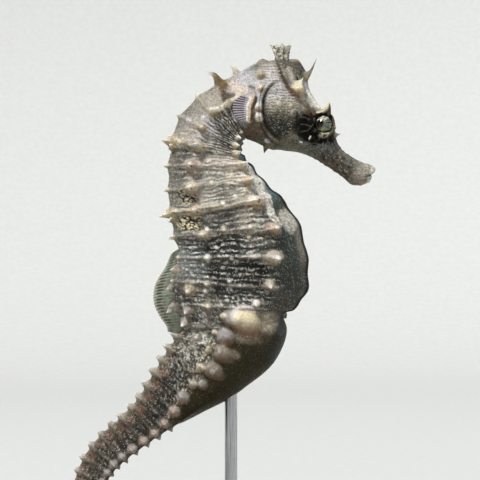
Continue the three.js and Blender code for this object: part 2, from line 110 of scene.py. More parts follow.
# Half of a section as corners in shares of half width and half depth: ridge above (superior),
# ridge on the side (lateral), ridge below (inferior), the groove of the back, and how round the
# upper and lower parts are. From station 23 the side ridge runs down to be the tail's lower ridge.
SECTIONS = [
    # station, sup y, sup u, lat y, lat u, inf y, inf u, groove, round above, round below
    (0, 0.72, 0.72, 1.0, 0.0, 0.72, -0.72, 1.0, 1.0, 1.0),
    (3, 0.70, 0.74, 1.0, 0.0, 0.70, -0.74, 1.0, 1.0, 1.0),
    (4, 0.52, 0.88, 1.0, 0.10, 0.74, -0.72, 1.0, 0.8, 1.0),
    (5, 0.48, 0.95, 0.98, 0.30, 0.80, -0.62, 0.95, 0.5, 1.0),
    (7, 0.34, 0.95, 0.92, 0.22, 0.92, -0.52, 0.96, 0.5, 1.0),
    (9, 0.36, 0.94, 0.96, 0.10, 0.92, -0.56, 0.98, 0.6, 1.0),
    (11, 0.46, 0.95, 1.0, 0.16, 0.84, -0.66, 0.95, 0.5, 0.7),
    (12, 0.50, 0.98, 1.0, 0.26, 0.82, -0.74, 0.93, 0.1, 0.3),
    (14, 0.54, 1.0, 1.0, 0.25, 0.80, -0.78, 0.91, 0.0, 0.0),
    (15, 0.56, 1.0, 1.0, 0.22, 0.80, -0.80, 0.90, 0.0, 0.0),
    (16, 0.57, 1.0, 1.0, 0.42, 0.80, -0.74, 0.90, 0.0, 0.0),
    (18, 0.58, 1.0, 1.0, 0.50, 0.80, -0.55, 0.90, 0.0, 0.0),
    (20, 0.60, 1.0, 1.0, 0.52, 0.80, -0.52, 0.88, 0.0, 0.0),
    (22, 0.56, 1.0, 0.94, 0.40, 0.92, -0.42, 0.90, 0.0, 0.3),
    (23, 0.52, 1.0, 0.84, 0.38, 1.0, -0.20, 0.92, 0.0, 0.9),
    (25, 0.56, 1.0, 0.84, 0.12, 1.0, -0.44, 0.92, 0.0, 0.9),
    (27, 0.68, 1.0, 0.94, -0.30, 0.84, -0.76, 0.92, 0.0, 0.6),
    (29, 0.80, 1.0, 0.98, -0.72, 0.60, -0.96, 0.92, 0.0, 0.0),
    (34, 0.80, 1.0, 0.94, -0.80, 0.55, -0.98, 0.92, 0.0, 0.0),
    (60, 0.80, 1.0, 0.90, -0.80, 0.55, -0.98, 0.96, 0.4, 0.4),
]
CORNERS = (0.0, 0.14, 0.37, 0.76, 1.0)  # share of the way round, back to belly, of each corner
SUP, LAT, INF = CORNERS[1:4]
HALF_COLUMNS = 128

# rows of the skin for each station, by stretch of the body
ROWS = [(0, 3, 12), (3, 12, 24), (12, 23, 28), (23, 34, 16), (34, 60, 10)]


def through(table, at):
    """Every column of a table, on a smooth curve through its rows, at the stations asked for."""
    table = np.asarray(table, float)
    knots, values = table[:, 0], table[:, 1:]
    gap = np.diff(knots)[:, None]
    rate = np.diff(values, axis=0) / gap
    inner = (rate[:-1] * gap[1:] + rate[1:] * gap[:-1]) / (gap[1:] + gap[:-1])
    slope = np.vstack([rate[:1], inner, rate[-1:]])
    at = np.clip(np.asarray(at, float), knots[0], knots[-1])
    i = np.clip(np.searchsorted(knots, at, side="right") - 1, 0, len(knots) - 2)
    h = gap[i]
    f = ((at - knots[i]) / h[:, 0])[:, None]
    return (
        (2 * f**3 - 3 * f**2 + 1) * values[i]
        + (f**3 - 2 * f**2 + f) * h * slope[i]
        + (3 * f**2 - 2 * f**3) * values[i + 1]
        + (f**3 - f**2) * h * slope[i + 1]
    )


def curled_tail(last):
    """The outline's rows for the free end of the tail, bending forwards tighter and tighter."""
    back_x, back_z, belly_x, belly_z, half = last[1:]
    depth = math.hypot(back_x - belly_x, back_z - belly_z)
    heading = math.atan2(back_z - belly_z, back_x - belly_x) + math.pi / 2
    x, z = (back_x + belly_x) / 2, (back_z + belly_z) / 2
    length = sum(CURL_PITCH) / 2 * CURL_RINGS
    run, rows = 0.0, []
    for ring in range(CURL_RINGS):
        pitch = CURL_PITCH[0] + (CURL_PITCH[1] - CURL_PITCH[0]) * ring / (CURL_RINGS - 1)
        for _ in range(CURL_STEPS):
            bend = CURL_BEND[0] + CURL_BEND[1] * (run / length) ** CURL_BEND[2]
            heading += math.radians(bend * pitch / CURL_STEPS)
            x += math.cos(heading) * pitch / CURL_STEPS
            z += math.sin(heading) * pitch / CURL_STEPS
            run += pitch / CURL_STEPS
        left = 1 - CURL_TAPER[0] * (run / length) ** CURL_TAPER[1]
        dx, dz = math.sin(heading) * depth * left / 2, -math.cos(heading) * depth * left / 2
        rows.append((last[0] + 1 + ring, x + dx, z + dz, x - dx, z - dz, half * left))
    return rows


PROFILE = OUTLINE + curled_tail(OUTLINE[-1])
LAST = PROFILE[-1][0]


def smooth(value, low, high):
    """0 below low, 1 above high, with a soft step between; low may be the larger."""
    t = np.clip((np.asarray(value, float) - low) / (high - low), 0, 1)
    return t * t * (3 - 2 * t)


def between(value, start, full, fading, end):
    """1 from full to fading, 0 before start and after end."""
    return smooth(value, start, full) * smooth(value, end, fading)


def hump(value, centre, width):
    """1 at the centre, falling off as a bell."""
    return np.exp(-(((np.asarray(value, float) - centre) / width) ** 2))


# ------------------------------------------------------------------ noise without images
def hashed(cells, seed):
    """A repeatable number from 0 to 1 for each row of whole numbers."""
    n = np.full(len(cells), seed * 374761393 + 668265263, np.int64)
    for k in range(cells.shape[1]):
        n = (n ^ (cells[:, k].astype(np.int64) * 2246822519 + 3266489917 * (k + 1))) & 0xFFFFFFFF
        n = (n * 668265263) & 0xFFFFFFFF
        n ^= n >> 15
    return (n & 0xFFFFFF) / float(0xFFFFFF)


def noise(points, size, seed, octaves=1):
    """Smooth noise from -1 to 1 over points in mm, with patches about size mm across."""
    total, weight = np.zeros(len(points)), 0.0
    for octave in range(octaves):
        p = np.asarray(points) * (2**octave) / size + 31.7 * octave
        base = np.floor(p)
        f = p - base
        f = f * f * (3 - 2 * f)
        value = np.zeros(len(p))
        for corner in np.ndindex(*(2,) * p.shape[1]):
            share = np.prod([f[:, k] if c else 1 - f[:, k] for k, c in enumerate(corner)], axis=0)
            value += share * hashed(base + np.array(corner), seed + octave)
        total += (value * 2 - 1) * 0.5**octave
        weight += 0.5**octave
    return total / weight


def beads(across, along, jitter, seed):
    """Distance to the nearest of a jittered grid of beads, in cells, and that bead's own number."""
    p = np.stack([across, along], 1)
    base = np.floor(p)
    near = np.full(len(p), 9.0)
    own = np.zeros(len(p))
    for dx in (-1, 0, 1):
        for dy in (-1, 0, 1):
            cell = base + (dx, dy)
            shift = np.stack([hashed(cell, seed), hashed(cell, seed + 7)], 1) - 0.5
            away = np.hypot(*(p - (cell + 0.5 + shift * jitter)).T)
            closer = away < near
            near = np.where(closer, away, near)
            own = np.where(closer, hashed(cell, seed + 13), own)
    return near, own


# ------------------------------------------------------------------ the plain body surface
class Body:
    """The plain surface as a grid: rows along the body, columns round it from the back."""

    def __init__(self):
        stations = [np.linspace(a, b, int((b - a) * n), endpoint=False) for a, b, n in ROWS]
        self.s = np.append(np.concatenate(stations), LAST)
        p = through(PROFILE, self.s)
        back = np.stack([p[:, 0], 0 * p[:, 0], p[:, 1]], 1)
        belly = np.stack([p[:, 2], 0 * p[:, 0], p[:, 3]], 1)
        self.middle = (back + belly) / 2
        half_depth = np.linalg.norm(back - belly, axis=1) / 2
        self.up = (back - self.middle) / half_depth[:, None]
        self.along = np.stack([-self.up[:, 2], 0 * self.up[:, 0], self.up[:, 0]], 1)
        self.depth, self.half = half_depth, p[:, 4]
        self.way = np.linspace(0, 1, HALF_COLUMNS + 1)
        y, u = self._sections()
        self.points = (
            self.middle[:, None]
            + self.up[:, None] * (u * half_depth[:, None])[..., None]
            + np.array([0, 1, 0]) * (y * p[:, 4:5])[..., None]
        )
        step = np.linalg.norm(np.diff(self.points, axis=1, append=self.points[:, :1]), axis=2)
        half = HALF_COLUMNS
        down = np.concatenate([np.zeros((len(self.s), 1)), np.cumsum(step[:, :half], 1)], 1)
        self.arc = np.concatenate([down, down[:, half - 1 : 0 : -1]], 1)
        run = np.linalg.norm(np.diff(self.middle, axis=0), axis=1)
        self.run = np.concatenate([[0], np.cumsum(run)])
        self.side = np.where(np.arange(2 * half) <= half, NEAR, FAR)
        self.round = np.concatenate([self.way, self.way[-2:0:-1]])

    def _sections(self):
        """Outline of every section, in shares of half width and half depth."""
        c = through(SECTIONS, self.s)
        zero = np.zeros(len(self.s))
        ys = np.stack([zero, c[:, 0], c[:, 2], c[:, 4], zero], 1)
        us = np.stack([c[:, 6], c[:, 1], c[:, 3], c[:, 5], zero - 1], 1)
        half = [[np.interp(self.way, CORNERS, row) for row in grid] for grid in (ys, us)]
        y, u = np.array(half[0]), np.array(half[1])
        loop = np.concatenate([-y + 1j * u, (y + 1j * u)[:, -2:0:-1]], 1)
        way = np.concatenate([self.way, self.way[-2:0:-1]])
        crisp, soft = self._blur(loop, 0.023 * HALF_COLUMNS), self._blur(loop, 0.11 * HALF_COLUMNS)
        lower = smooth(way, 0.2, 0.55)
        share = c[:, 7:8] * (1 - lower) + c[:, 8:9] * lower
        both = crisp * (1 - share) + soft * share
        return both.real, both.imag

    @staticmethod
    def _blur(loop, columns):
        """Outlines with their corners rounded over a number of columns."""
        turn = np.fft.fftfreq(loop.shape[1])
        soft = np.fft.ifft(np.fft.fft(loop, axis=1) * np.exp(-2 * (np.pi * columns * turn) ** 2), axis=1)
        # the blur draws the outline in: stretch it back to where it was
        for part in ("real", "imag"):
            was, now = getattr(loop, part), getattr(soft, part)
            span = (was.max(1) - was.min(1)) / (now.max(1) - now.min(1))
            moved = (now - now.min(1)[:, None]) * span[:, None] + was.min(1)[:, None]
            soft = moved + 1j * soft.imag if part == "real" else soft.real + 1j * moved
        return soft

    def cell(self, station, way, side):
        """The row and column nearest to a station and a share of the way round a side."""
        row = int(np.argmin(abs(self.s - station)))
        column = int(round(way * HALF_COLUMNS))
        return row, column if side == NEAR else (2 * HALF_COLUMNS - column) % (2 * HALF_COLUMNS)


body = Body()


MAP_MARGIN = 0.003  # share of the map left free round each half


def unwrap(mesh, stations, columns):
    """An even map: head and trunk fill one half of the square, the tail the other."""
    uv = mesh.uv_layers.new(name="OFBake")
    rows = len(stations)
    split = int(np.searchsorted(stations, TAIL_FROM))
    row = np.arange(rows - 1)
    trunk = row < split
    first, count = np.where(trunk, 0, split), np.where(trunk, split, rows - 1 - split)
    low, high = (row - first) / count, (row - first + 1) / count
    start = np.where(trunk, 0.0, 0.5)[:, None]
    left, right = np.arange(columns) / columns, (np.arange(columns) + 1) / columns
    edge = lambda v: start + MAP_MARGIN + (0.5 - 2 * MAP_MARGIN) * v[None]
    along = lambda v: np.repeat((MAP_MARGIN + (1 - 2 * MAP_MARGIN) * v)[:, None], columns, 1)
    across = np.stack([edge(left), edge(left), edge(right), edge(right)], -1)
    length = np.stack([along(low), along(high), along(high), along(low)], -1)
    flat = np.stack([length, across], -1).reshape(-1, 2)
    ends = np.stack([np.full(2 * columns, 0.001), np.tile(np.linspace(0, 1, columns), 2)], 1)
    uv.data.foreach_set("uv", np.concatenate([flat, ends]).astype(np.float32).ravel())


# rows past the ends of the body: share of the end section's size, mm along the body
LIP_SHAPE = [(0.9, -0.35), (0.72, -0.2), (0.5, 0.5), (0.34, 1.6), (0.12, 2.6)]  # turned in to a small mouth
TIP_SHAPE = [(0.8, 0.3), (0.45, 0.5)]
LIP_ROWS, TIP_ROWS = len(LIP_SHAPE), len(TIP_SHAPE)


def end_rows(row, shape):
    """Sections drawn in from the first or the last section of the body."""
    middle, along = body.middle[row], body.along[row]
    return [middle + (body.points[row] - middle) * share + along * shift for share, shift in shape]


def grid_mesh():
    """The plain body as a mesh, closed at lips and tail tip, with its places kept as attributes."""
    columns = body.points.shape[1]
    points = np.concatenate([end_rows(0, LIP_SHAPE)[::-1], body.points, end_rows(-1, TIP_SHAPE)])
    before, after = -0.1 * np.arange(LIP_ROWS, 0, -1), LAST + 0.05 * np.arange(1, TIP_ROWS + 1)
    stations = np.concatenate([before, body.s, after])
    run = np.interp(stations, body.s, body.run)
    first, last = np.repeat(body.arc[:1], LIP_ROWS, 0), np.repeat(body.arc[-1:], TIP_ROWS, 0)
    arc = np.concatenate([first, body.arc, last])
    total = len(points)
    index = np.arange(total * columns).reshape(total, columns)
    a, b = index[:-1], index[1:]
    quads = np.stack([a, b, np.roll(b, -1, 1), np.roll(a, -1, 1)], -1).reshape(-1, 4)
    mesh = bpy.data.meshes.new("skin")
    faces = quads.tolist() + [index[0].tolist(), index[-1][::-1].tolist()]
    mesh.from_pydata((points.reshape(-1, 3) * MM).tolist(), [], faces)
    kept = {
        "station": np.repeat(stations, columns),
        "way": np.tile(body.round, total),
        "arc": arc.ravel(),
        "run": np.repeat(run, columns),
    }
    for name, values in kept.items():
        mesh.attributes.new(name, "FLOAT", "POINT").data.foreach_set("value", values.astype(np.float32))
    unwrap(mesh, stations, columns)
    return mesh


def values_of(mesh, name):
    """A named number of every point."""
    data = np.empty(len(mesh.vertices), np.float32)
    mesh.attributes[name].data.foreach_get("value", data)
    return data.astype(float)


def points_of(mesh, what="co"):
    """Every point in mm, or every point's normal."""
    data = np.empty(len(mesh.vertices) * 3, np.float32)
    if what == "co":
        mesh.vertices.foreach_get("co", data)
        return data.reshape(-1, 3).astype(float) / MM
    mesh.vertex_normals.foreach_get("vector", data)
    return data.reshape(-1, 3).astype(float)


# ------------------------------------------------------------------ spines, tubercles and bumps
class Bump:
    """One raised point of the skin, from a low round swelling to a hooked spine."""

    def __init__(self, foot, height, radius, tone, sharp=0.5, lean=(0, 0, 0), dot=False, sides=(NEAR, FAR),
                 seat=None, plump=False, trail=None, tip="white", under="ochre", hook=2.2, point=2.2):
        self.foot = foot  # ("ring", station, way), ("side", x, z) in the side view, or ("at", x, y, z)
        self.height, self.radius, self.tone = height, radius, tone
        self.sharp, self.lean, self.dot, self.sides = sharp, np.array(lean, float), dot, sides
        self.seat = seat  # (height, radius, tone) of the low swelling it stands on
        # under: the tone painted as shade over the lower side of the bump and of its seat
        self.tip, self.under = tip, under  # colours of the point and of the underside
        self.hook, self.point = hook, point  # how close to the point the lean begins, along the body and up
        self.plump = plump  # a full dome with a crease round it
        self.trail = trail  # (x, z) the way it runs out softly in the side view, as long as its reach

    def place(self, side):
        """The row and column of the plain surface where it stands."""
        kind, *where = self.foot
        if kind == "ring":
            return body.cell(*where, side)
        first = 0 if side == NEAR else HALF_COLUMNS
        part = body.points[:, first : first + HALF_COLUMNS + 1]
        if kind == "side":
            away = np.hypot(part[..., 0] - where[0], part[..., 2] - where[1])
        else:
            x, y, z = where
            away = np.linalg.norm(part - np.array([x, side * y, z]), axis=2)
        row, column = np.unravel_index(np.argmin(away), away.shape)
        return row, column + first

    def trailed(self, gap):
        """Steps from the foot, shorter along the trail, and how much of the height is left there."""
        if not self.trail:
            return gap, np.ones(len(gap))
        reach = math.hypot(*self.trail)
        way = np.array([self.trail[0], 0, self.trail[1]]) / reach
        past = np.clip(gap @ way, 0, None)
        fade = 1 - 0.8 * smooth(past, 0.35 * self.radius, reach + 0.9 * self.radius)
        return gap - np.outer(past * reach / (reach + self.radius), way), fade


# the points of each ridge of the trunk, ring 1 to 11: height, radius, colour, and the low swelling
# under it with its own height, radius and colour
SUPERIOR = [(3.8, 1.9), (1.0, 1.2), (1.2, 1.3), (2.4, 1.8), (2.0, 1.4), (2.0, 1.4)]
SUPERIOR += [(2.6, 1.8), (2.2, 1.6), (0.6, 1.2), (0.6, 1.2), (0.8, 1.2)]
LATERAL = [
    (1.0, 1.8, "cream", (0.4, 2.4, "rose")),
    (1.9, 2.5, "cream", (0.9, 3.8, "pale")),
    (1.5, 2.3, "tan", (0.9, 3.8, "tan")),
    (1.8, 2.6, "cream", (1.3, 4.6, "tan")),
    (2.2, 3.4, "rose", (1.5, 5.6, "blush")),
    (2.1, 3.2, "cream", (1.5, 5.4, "rose")),
    (1.9, 2.7, "peach", (1.3, 5.0, "tan")),
    (2.1, 2.3, "cream", (1.1, 4.4, "rose")),
    (1.9, 2.1, "white", (0.9, 4.2, "grey")),
    (1.5, 1.8, "pale", (0.9, 4.0, "grey")),
    (1.3, 1.5, "cream", (0.6, 3.0, "mauve")),
]
INFERIOR = [
    (0.5, 1.0, "white", (0.2, 1.6, "grey")),
    (1.3, 1.6, "white", (0.4, 2.0, "lilac")),
    (1.6, 2.0, "cream", (0.6, 2.6, "lilac")),
    (1.8, 2.3, "cream", (0.8, 3.0, "rose")),
    (2.3, 2.9, "cream", (1.0, 4.4, "blush")),
    (2.3, 3.0, "peach", (1.0, 4.4, "blush")),
    (2.0, 3.0, "sand", (1.1, 5.8, "peach")),
    (1.7, 2.6, "peach", (1.1, 5.6, "rose")),
    (2.5, 3.9, "pale", (1.5, 5.6, "pale")),
    (2.3, 2.6, "pale", (1.0, 4.0, "mauve")),
    (1.8, 2.1, "white", (0.9, 3.6, "brown")),
]
# side-view places of the lower ones that stand off their ridge, and how far some lean along the
# body and away from the back
INFERIOR_PLACES = {6: (8.4, 157.8), 7: (11.8, 148.8), 8: (18.6, 138.4)}
INFERIOR_PLACES |= {9: (18.8, 127.0), 10: (17.4, 116.4), 11: (12.2, 108.8)}
INFERIOR_LEANS = {5: (0.0, -0.6), 6: (0.2, -0.6), 8: (0.3, -1.0)}
INFERIOR_LEANS |= {9: (0.7, -1.9), 10: (1.9, -0.5), 11: (0.6, 0.4)}
# the ones with a black dot on them
DOTTED = {("lateral", 5), ("lateral", 6), ("lateral", 7), ("inferior", 9)}
BEFORE_TRUNK = 11  # the station before ring 1
# low lumps, by side view x and z, height and radius: the row of ring 4, points half way down the
# lower rings, and pale lumps scattered between the rings
KNOTS = [
    (-18.4, 172.8, 1.0, 1.7, "cream"),
    (-16.0, 172.2, 0.9, 1.4, "rose"),
    (-11.6, 171.0, 1.1, 1.8, "lavender"),
    (-7.6, 171.2, 0.8, 1.4, "rose"),
    (-1.2, 148.6, 0.7, 1.2, "white"),
    (3.8, 151.2, 0.7, 1.2, "white"),
    (2.4, 126.8, 0.7, 0.9, "white"),
    (1.6, 117.8, 0.7, 0.9, "white"),
    (0.4, 110.0, 0.6, 0.8, "white"),
    (2.4, 159.6, 0.8, 1.6, "cream"),
    (7.6, 153.4, 0.9, 1.7, "cream"),
    (11.0, 150.6, 0.8, 1.4, "pale"),
    (-5.4, 156.6, 0.7, 1.3, "cream"),
    (1.2, 156.4, 0.7, 1.2, "cream"),
    (-1.0, 138.6, 0.8, 1.4, "cream"),
    (-14.6, 181.4, 0.5, 1.3, "lavender"),
    (-9.0, 182.6, 0.6, 1.5, "lavender"),
    (-7.4, 138.4, 0.6, 1.1, "white"),
    (9.0, 135.2, 0.7, 1.3, "cream"),
    (-4.0, 131.0, 0.5, 1.0, "white"),
    (-8.0, 113.6, 0.9, 1.4, "white"),
]
# cones with broad feet on the upper ridge of the lowest rings, and a second row under them
CONES = [
    (-20.6, 122.6, 1.9, 2.6, "rose"),
    (-20.8, 114.9, 2.8, 3.2, "lilac"),
    (-20.6, 106.8, 2.7, 3.0, "lilac"),
    (-14.6, 114.0, 2.3, 3.2, "tan"),
    (-15.4, 106.0, 2.3, 2.6, "lilac"),
    (-16.2, 101.2, 2.2, 2.4, "lilac"),
]
# rings 4 and 7 are larger: how wide their small spines are, and each spine's share of the way
# round, height and shift along the body, in rings
BIG_RINGS = {4: 1.14, 7: 1.26}
BIG_RING_SPINES = [(0.10, 2.1, -0.2), (0.17, 2.4, 0.17), (0.20, 1.5, -0.12), (0.10, 1.8, 0.3)]
# how strong each ring's ridge is near the back, on the side, lower down and at the lower ridge
BAR_WAYS = (0.14, 0.37, 0.56, 0.76)
RING_BARS = [
    (0.9, 0.5, 0.2, 0.1),
    (0.5, 0.9, 0.3, 0.3),
    (0.6, 0.8, 0.4, 0.4),
    (1.7, 1.5, 0.5, 0.4),
    (0.3, 0.9, 0.3, 0.8),
    (0.3, 0.9, 0.4, 0.7),
    (1.7, 1.9, 1.2, 1.5),
    (0.5, 1.3, 1.1, 1.9),
    (0.3, 0.9, 0.8, 1.4),
    (0.3, 0.8, 0.5, 0.7),
    (0.4, 0.7, 0.4, 0.5),
    (0.8, 0.8, 0.8, 0.8),  # every ring of the tail
]


def bar_strength(s, way):
    """How strong the nearest ring's ridge is at a share of the way round."""
    ring = np.clip(np.round(s) - BEFORE_TRUNK - 1, 0, len(RING_BARS) - 1).astype(int)
    part = np.clip(np.searchsorted(BAR_WAYS, way) - 1, 0, len(BAR_WAYS) - 2)
    ways, table = np.array(BAR_WAYS), np.array(RING_BARS)
    t = np.clip((way - ways[part]) / (ways[part + 1] - ways[part]), 0, 1)
    return table[ring, part] * (1 - t) + table[ring, part + 1] * t


def ring_bumps(ring):
    """The three points on each side of a trunk ring."""
    station = BEFORE_TRUNK + ring
    place, back = ("ring", station, SUP), SUPERIOR[ring - 1]
    if ring == 1:
        spine = Bump(place, *back, "cream", 0.45, (0, 3.0, 1.9), hook=6.0, plump=True)
    else:
        spine = Bump(place, *back, "cream", 0.85, (0, 0.35 * back[0] - 0.4, 0))
    *shape, seat = LATERAL[ring - 1]
    side = Bump(("ring", station, LAT), *shape, 0.45, dot=("lateral", ring) in DOTTED, seat=seat)
    *shape, seat = INFERIOR[ring - 1]
    place = ("side", *INFERIOR_PLACES[ring]) if ring in INFERIOR_PLACES else ("ring", station, INF)
    droop = (0, *INFERIOR_LEANS.get(ring, (0.0, 0.0)))
    return [spine, side, Bump(place, *shape, 0.5, droop, ("inferior", ring) in DOTTED, seat=seat)]


def trunk_bumps():
    """Points and low lumps of the eleven trunk rings."""
    ridges = [
        Bump(("ring", BEFORE_TRUNK + ring, 0.15), 1.1, 4.2, "tan", 0.0)
        for ring in reversed(BIG_RINGS)
    ]
    rings = [bump for ring in range(1, len(LATERAL) + 1) for bump in ring_bumps(ring)]
    spines = [
        Bump(("ring", BEFORE_TRUNK + ring + step, way), rise, radius, "cream", 0.9)
        for ring, radius in BIG_RINGS.items()
        for way, rise, step in BIG_RING_SPINES
    ]
    knots = [Bump(("side", x, z), *shape, 0.3) for x, z, *shape in KNOTS]
    cones = [
        Bump(("side", x, z), height, radius, tone, 0.7, (0, 0.9, 0.5), seat=(0.6, 1.5 * radius, "mauve"))
        for x, z, height, radius, tone in CONES
    ]
    return ridges + rings + spines + knots + cones


def tail_bumps():
    """Small spines along the tail's upper ridge, and rounded knobs low on its side."""
    found = []
    for station in range(24, int(LAST)):
        size = float(np.interp(station, [24, 30, 40, 60], [2.0, 1.8, 1.0, 0.25]))
        more, less, tint = hashed(np.array([[station, 1], [station, 2], [station, 3]]), 75)
        height, radius = size * (0.7 + 0.5 * more), size * (0.85 + 0.35 * less)
        place, seat = ("ring", station, SUP), (0.4 * size, 1.7 * size, "mauve")
        lean = (0, (0.6 * less - 0.5) * size, 0.35 * size)
        found.append(Bump(place, height, radius, "pale", 0.6, lean, seat=seat, under="mauve"))
        found.append(Bump(("ring", station + 0.35, 0.16), 0.5 * height, 0.7 * radius, "mauve", 0.3))
        if station > 26:
            place, seat = ("ring", station, LAT), (0.3 * size, 2.0 * size, "grey")
            height, radius, tone = size * 0.85, size * (1.3 + 0.45 * more), "rose" if tint > 0.7 else "lilac"
            found.append(Bump(place, height, radius, tone, 0.0, seat=seat))
        if station > 28:
            found.append(Bump(("ring", station, INF), size * 0.4, size * 0.7, "lilac", 0.3))
    return found


# feet of the paired spines over the eye and before the crown: x, distance from the middle, z
BROW = (39.9, 4.4, 185.6)
HORN = (32.7, 3.0, 199.8)


def head_bumps():
    """Spines and knobs of the head, the crown and the nape."""
    side = lambda x, z, *shape, **more: Bump(("side", x, z), *shape, **more)
    ring = lambda station, way, *shape, **more: Bump(("ring", station, way), *shape, **more)
    plump, middle = {"plump": True}, {"sides": (NEAR,)}  # one on the middle line isn't mirrored
    gill = {"under": "sand"}
    return [
        Bump(("at", *BROW), 1.3, 2.0, "cream", 0.0, (0, 0.7, 2.2), under="umber", point=1.5, **plump),
        Bump(("at", *HORN), 2.4, 2.5, "cream", 0.9, (0, 1.2, 6.8), seat=(0.8, 3.2, "umber"), tip="umber"),
        # temple, with a point on it
        side(28.6, 193.8, 2.3, 3.8, "sand", 0.1, seat=(1.5, 5.0, "rose")),
        side(29.2, 196.2, 1.8, 1.8, "white", 0.8, (-0.1, 0, 1.8), under="cream"),
        # behind the gill cover, from the top down
        side(14.0, 194.4, 1.2, 1.6, "sand", 0.4, seat=(0.5, 2.6, "rose")),
        side(13.8, 199.8, 1.2, 2.5, "tan", 0.1, seat=(0.4, 3.0, "pale"), under="rust"),
        side(12.9, 187.0, 2.0, 2.2, "white", 0.1, seat=(0.4, 2.8, "lavender"), **gill),
        side(13.3, 183.2, 2.1, 2.3, "white", 0.2, seat=(0.5, 2.8, "lavender"), **gill),
        # chin
        side(16.4, 173.6, 1.2, 1.6, "lavender", 0.3),
        side(16.2, 171.6, 1.4, 1.9, "olive", 0.2, (0, 0, -1.7)),
        # on the gill cover and the cheek
        side(21.0, 188.0, 0.6, 1.3, "cream", 0.3),
        side(26.0, 187.2, 0.6, 1.3, "tan", 0.3),
        side(27.0, 184.4, 0.8, 2.0, "pale", 0.1),
        # nose, then nape and the first rings' small points
        ring(4.12, 0.03, 2.1, 1.3, "cream", 0.8, (0, 0, 0.5), **middle),
        ring(11.15, 0.02, 2.9, 1.7, "cream", 0.5, (0, 2.0, 1.4), hook=5.0, **middle, **plump),
        ring(11.6, 0.08, 1.2, 1.0, "white", 0.8),
        ring(12.9, 0.1, 1.3, 1.2, "cream", 0.85),
        ring(12.45, 0.07, 0.8, 0.9, "cream", 0.85),
        ring(13.4, 0.06, 0.9, 0.9, "cream", 0.85),
        # knobs of the crown, behind and before the coronet
        ring(9.87, 0.03, 0.9, 3.0, "stone", 0.0),
        ring(8.6, 0.03, 0.6, 4.2, "stone", 0.0),
        ring(8.2, 0.12, 0.6, 2.2, "stone", 0.0),
    ]


def pouch_bumps():
    """The swollen lobes beside the pouch, and the knobs where each begins."""

    def swell(x, z, height, radius, tone, trail, under="brown"):
        return Bump(("side", x, z), height, radius, tone, 0.0, plump=True, trail=trail, under=under)

    return [
        swell(2.2, 103.0, 1.5, 4.4, "lilac", (1.0, 0.3)),
        swell(7.0, 102.9, 3.1, 6.6, "sand", (3.2, -2.8), "rust"),
        swell(-0.6, 96.2, 2.0, 4.0, "lilac", (1.3, -0.7)),
        swell(-1.8, 89.6, 2.2, 4.2, "mauve", (2.2, -1.4)),
        swell(-5.8, 82.8, 1.8, 4.0, "mauve", (2.6, -1.8)),
        swell(-9.4, 76.6, 1.3, 2.6, "stone", (0.4, -0.2)),
        Bump(("side", -13.0, 76.8), 1.3, 2.2, "pale", 0.2),
        Bump(("side", -1.0, 103.8), 1.2, 1.8, "cream", 0.4),
        Bump(("side", -4.4, 97.6), 1.2, 1.7, "cream", 0.3),
        Bump(("side", -6.8, 90.4), 1.4, 2.0, "cream", 0.3),
        Bump(("side", -10.0, 83.4), 1.6, 2.4, "cream", 0.3),
    ]


BUMPS = trunk_bumps() + tail_bumps() + head_bumps() + pouch_bumps()


# ------------------------------------------------------------------ colours
def rgb(code):
    """Scene-linear colour of a hex code."""
    c = np.array([int(code[i : i + 2], 16) / 255 for i in (0, 2, 4)])
    return np.where(c <= 0.04045, c / 12.92, ((c + 0.055) / 1.055) ** 2.4)


TONES = {
    "black": rgb("100f0c"),
    "dark": rgb("36332b"),
    "umber": rgb("4d4436"),
    "brown": rgb("5f4a36"),
    "grey": rgb("6b685f"),
    "stone": rgb("8d877a"),
    "pale": rgb("bcb3a5"),
    "rose": rgb("ae9b8f"),
    "blush": rgb("cfbeb0"),
    "lavender": rgb("d0ccd3"),
    "lilac": rgb("a39b97"),
    "mauve": rgb("8a7f6f"),
    "rust": rgb("70513d"),
    "tan": rgb("b0a187"),
    "ochre": rgb("7b6540"),
    "peach": rgb("ccb49c"),
    "cream": rgb("d8ccb2"),
    "sand": rgb("efe0bb"),
    "mottle": rgb("aea38f"),
    "white": rgb("ece8de"),
    "olive": rgb("5e5a41"),
    "slate": rgb("3d4540"),
    "haze": rgb("63757e"),
    "pouch": rgb("2d2714"),
}

# the ground colour along the trunk and the tail, by station
GROUND = [
    (10.6, "a49a8e"),
    (12, "968b7e"),
    (13, "858077"),
    (14, "83817b"),
    (15, "8b877f"),
    (16, "9b978e"),
    (17, "95928a"),
    (18, "7a766d"),
    (18.8, "484a46"),
    (19.4, "333532"),
    (20.4, "3e413d"),
    (21.5, "40413c"),
    (22.3, "4a4942"),
    (24, "35332c"),
    (27, "29261d"),
    (30, "2e281f"),
    (34, "342c20"),
    (61, "40372a"),
]
